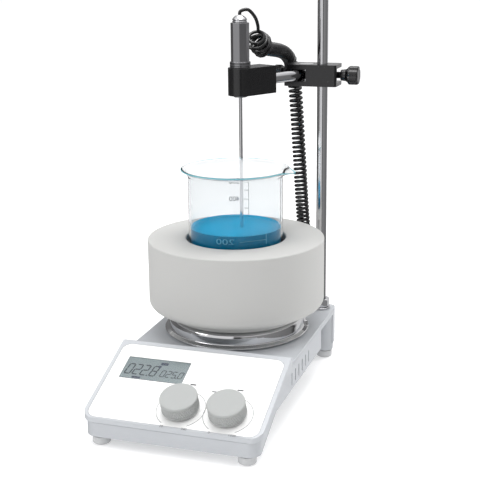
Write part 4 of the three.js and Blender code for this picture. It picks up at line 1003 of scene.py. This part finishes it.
gripTop = boxOf("probe_handle")[1][2]
stemRadius = (stemHigh[0] - stemLow[0]) / 2
finishPiece(turned("probe_tube", [
    (0.3, stemLow[2]), (stemRadius, stemLow[2], 1.1), (stemRadius, stemHigh[2], 0.2), (0.3, stemHigh[2]),
], probeAxis, around=48), "probe_stem")
capRadius = (capHigh[0] - capLow[0]) / 2
finishPiece(turned("probe_end_cap", [
    (0.4, capLow[2]), (capRadius, capLow[2], 0.3), (capRadius, capLow[2] + 1, 0.4),
    (capRadius - 0.5, capLow[2] + 1.3, 0.1), (capRadius - 0.5, capLow[2] + 1.8, 0.1),
    (capRadius, capLow[2] + 2.1, 0.4), (capRadius, capLow[2] + 2.8, 0.5),
    (5, capHigh[2] - 1, 0.8), (3.6, capHigh[2], 0.5), (0.4, capHigh[2]),
], probeAxis, around=96), "probe_cap")
collarShape = {"radius": 9.2, "bottomBelowGrip": 38.9, "beads": 2, "firstBead": 1.3, "beadPitch": 2.4,
               "beadRadius": 0.4, "beadSunk": 0.25}


def makeCollarRings(shape):
    # thin beads round the collar under the grip: a small circle turned round the probe's axis
    angle = np.linspace(0, 2 * math.pi, 13)[:-1]
    out = shape["radius"] - shape["beadSunk"] + shape["beadRadius"] * np.cos(angle)
    for i in range(shape["beads"]):
        height = gripTop - shape["bottomBelowGrip"] + shape["firstBead"] + shape["beadPitch"] * i
        profile = np.stack([out, height + shape["beadRadius"] * np.sin(angle)], -1)
        piece = skin("collar_bead_" + "ab"[i], placed(ringRows(profile, 96), probeAxis), looped=True)
        finishPiece(piece, "probe_handle", replace=False)


makeCollarRings(collarShape)


# rear connectors and screws

inletLow, inletHigh = boxOf("power_inlet")
inletMiddle = (inletLow + inletHigh) / 2
pinShape = {"spread": 7, "rise": 1.8, "size": (2, 4), "length": 15, "wellFloor": 3.5}


def makePins(shape):
    wide, tall = shape["size"]
    axes = np.array([[1, 0, 0], [0, 0, 1], [0, -1, 0]], float)
    start = inletLow[1] + shape["wellFloor"]
    for index, (across, up) in enumerate([(-shape["spread"], -shape["rise"]),
                                          (shape["spread"], -shape["rise"]), (0, shape["rise"])]):
        spot = (inletMiddle[0] + across, start + shape["length"], inletMiddle[2] + up)
        pin = block("inlet_pin_" + "abc"[index], rectangle(-wide / 2, -tall / 2, wide / 2, tall / 2, 0.3),
                    0, shape["length"], 0.6, spot, axes)
        finishPiece(pin, "power_inlet", replace=False, finish=brass, slot="steel")


makePins(pinShape)
fuseLow, fuseHigh = boxOf("fuse_holder")
fuseMiddle = (fuseLow + fuseHigh) / 2
fuseRadius = (fuseHigh[0] - fuseLow[0]) / 2
finishPiece(turned("fuse_cap", [
    (0.4, fuseLow[1]), (fuseRadius - 0.8, fuseLow[1], 0.4), (fuseRadius - 0.8, fuseHigh[1] - 3.5, 0.2),
    (fuseRadius, fuseHigh[1] - 3.3, 0.3), (fuseRadius, fuseHigh[1], 0.7),
    (fuseRadius - 1.6, fuseHigh[1], 0.2), (fuseRadius - 1.8, fuseHigh[1] - 0.7, 0.2),
    (0.4, fuseHigh[1] - 0.7),
], (fuseMiddle[0], 0, fuseMiddle[2]), axis=(0, 1, 0)), "fuse_holder")
socketLow, socketHigh = boxOf("sensor_socket")
socketMiddle = (socketLow + socketHigh) / 2
socketRadius = (socketHigh[0] - socketLow[0]) / 2
socketShape = {"wall": 1.6, "depth": 7.8}
socketBore, socketFloor = socketRadius - socketShape["wall"], socketHigh[1] - socketShape["depth"]
finishPiece(turned("probe_socket_ring", [
    (0.4, socketLow[1]), (socketRadius, socketLow[1], 0.3), (socketRadius, socketHigh[1], 0.5),
    (socketBore, socketHigh[1], 0.3), (socketBore, socketFloor), (0.4, socketFloor),
], (socketMiddle[0], 0, socketMiddle[2]), axis=(0, 1, 0)), "sensor_socket")


def makeScrewHead(name, spot, axis, node, radius=2.4, height=1.0, socket=1.1):
    # low domed head with a hexagonal socket
    count = 96
    angle = np.linspace(0, 2 * math.pi, count, endpoint=False)
    flat = (angle + math.pi / 6) % (math.pi / 3) - math.pi / 6
    hexagon = socket / np.cos(flat)
    profile = rounded([(radius, -0.15), (radius, height * 0.55, 0.4), (radius - 0.9, height, 0.5),
                       (socket * 1.35, height)])
    rows = ringRows(profile, count)
    well = [np.stack([hexagon * np.cos(angle), hexagon * np.sin(angle), np.full(count, level)], -1)
            for level in (height - 0.02, height * 0.3)]
    rows = np.concatenate([rows, well])
    piece = skin(name, placed(rows, spot, axesAlong(axis)), creaseAngle=30)
    finishPiece(piece, node, replace=False, finish=finishes["steel"], slot="steel")


def cornersOf(low, high, inset):
    # the four spots that lie an inset in from the corners of a box side
    return [(a, b) for a in (low[0] + inset[0], high[0] - inset[0])
            for b in (low[1] + inset[1], high[1] - inset[1])]


backLow, backHigh = boxOf("rear_panel")
for index, (x, z) in enumerate(cornersOf(backLow[[0, 2]], backHigh[[0, 2]], (4.6, 4.4))):
    makeScrewHead(f"rear_screw_{index + 1}", (x, backHigh[1], z), (0, 1, 0), "rear_panel",
                  radius=1.9, height=0.8, socket=0.9)
underLow, underHigh = boxOf("bottom_plate")
for index, (x, y) in enumerate(cornersOf(underLow, underHigh, (5, 5))):
    makeScrewHead(f"underside_screw_{index + 1}", (x, y, underLow[2]), (0, 0, -1), "bottom_plate")
print("connectors and screws made")


# floor and light

floorShape = {"size": 40.0, "colour": tone(232, 232, 232), "glow": 0.36}
lightShape = {
    "keyLeft": {"place": (-1.15, -1.05, 1.15), "size": (0.7, 1.0), "power": 6, "aim": (0, 0, 0.15)},
    "rimRight": {"place": (0.95, 1.1, 0.75), "size": (0.3, 1.1), "power": 8, "aim": (0, 0.05, 0.15),
                 "mirrored": False},
    "topSheet": {"place": (0.05, 0.25, 1.7), "size": (1.3, 1.3), "power": 18, "aim": (0, 0.02, 0.05)},
}


def makeFloor(shape):
    half = shape["size"] / 2 / mm
    corners = np.array([(-half, -half, 0), (half, -half, 0), (half, half, 0), (-half, half, 0)])
    piece = newMesh("floor", corners, [(0, 1, 2, 3)])
    paintWith(piece, makeFinish("paleFloor", shape["colour"], 0.8, drift=0.003, driftSize=400, grain=0,
                                Emission_Color=(1, 1, 1, 1), Emission_Strength=shape["glow"]))
    piece.visible_glossy = False  # polished metal mirrors the room instead


def makeLight(name, light):
    data = bpy.data.lights.new(name, "AREA")
    data.shape = "RECTANGLE"
    data.size, data.size_y = light["size"]
    data.energy = light["power"]
    lamp = bpy.data.objects.new(name, data)
    way = Vector(light["aim"]) - Vector(light["place"])
    turn = way.to_track_quat("-Z", "Y").to_matrix().to_4x4()
    lamp.matrix_world = Matrix.Translation(light["place"]) @ turn
    lamp.visible_glossy = light.get("mirrored", True)
    scene.collection.objects.link(lamp)


# walls are (compass degrees from +x, brightness); the ceiling fades in between two heights, as the
# sine of the angle above the horizon
roomShape = {"backdrop": 1.0, "strength": 0.8, "ceiling": (1.35, 1.35, 1.36, 1), "ceilingFade": (0.35, 0.8),
             "walls": [(-180, 0.15), (-148, 0.3), (-141, 0.03), (-135, 1.0), (-79, 1.0), (-76, 0.04),
                       (-67, 0.04), (-62, 0.38), (30, 0.22), (40, 0.04), (50, 0.9), (104, 0.9),
                       (112, 0.04), (120, 0.25), (180, 0.15)]}


def makeWorld(shape):
    # the backdrop is plain white; what surfaces mirror is a room looked up by compass direction:
    # white at the front left and the back right, grey elsewhere, with thin black flags between
    world = bpy.data.worlds.new("studio")
    scene.world = world
    world.use_nodes = True
    nodes, links = world.node_tree.nodes, world.node_tree.links
    nodes.clear()
    place, split = nodes.new("ShaderNodeTexCoord"), nodes.new("ShaderNodeSeparateXYZ")
    links.new(place.outputs["Generated"], split.inputs["Vector"])
    compass = nodes.new("ShaderNodeMath")
    compass.operation = "ARCTAN2"
    links.new(split.outputs["Y"], compass.inputs[0])
    links.new(split.outputs["X"], compass.inputs[1])
    spread = nodes.new("ShaderNodeMapRange")
    spread.inputs["From Min"].default_value, spread.inputs["From Max"].default_value = -math.pi, math.pi
    links.new(compass.outputs[0], spread.inputs["Value"])
    ramp = nodes.new("ShaderNodeValToRGB")
    while len(ramp.color_ramp.elements) < len(shape["walls"]):
        ramp.color_ramp.elements.new(0.5)
    for element, (degrees, level) in zip(ramp.color_ramp.elements, shape["walls"]):
        element.position = (degrees + 180) / 360
        element.color = (level, level, level * 1.01, 1)
    links.new(spread.outputs["Result"], ramp.inputs["Fac"])
    lift = nodes.new("ShaderNodeMapRange")
    lift.inputs["From Min"].default_value, lift.inputs["From Max"].default_value = shape["ceilingFade"]
    links.new(split.outputs["Z"], lift.inputs["Value"])
    sky = nodes.new("ShaderNodeMix")
    sky.data_type = "RGBA"
    sky.inputs[7].default_value = shape["ceiling"]
    links.new(lift.outputs["Result"], sky.inputs["Factor"])
    links.new(ramp.outputs["Color"], sky.inputs[6])
    room, backdrop = nodes.new("ShaderNodeBackground"), nodes.new("ShaderNodeBackground")
    room.inputs["Strength"].default_value = shape["strength"]
    backdrop.inputs["Color"].default_value = (1, 1, 1, 1)
    backdrop.inputs["Strength"].default_value = shape["backdrop"]
    links.new(sky.outputs[2], room.inputs["Color"])
    path, blend, output = (nodes.new(kind) for kind in
                           ("ShaderNodeLightPath", "ShaderNodeMixShader", "ShaderNodeOutputWorld"))
    links.new(path.outputs["Is Camera Ray"], blend.inputs["Fac"])
    links.new(room.outputs[0], blend.inputs[1])
    links.new(backdrop.outputs[0], blend.inputs[2])
    links.new(blend.outputs[0], output.inputs["Surface"])


makeFloor(floorShape)
for name, light in lightShape.items():
    makeLight(name, light)
makeWorld(roomShape)
scene.view_settings.view_transform = "Standard"
print("floor and light placed")
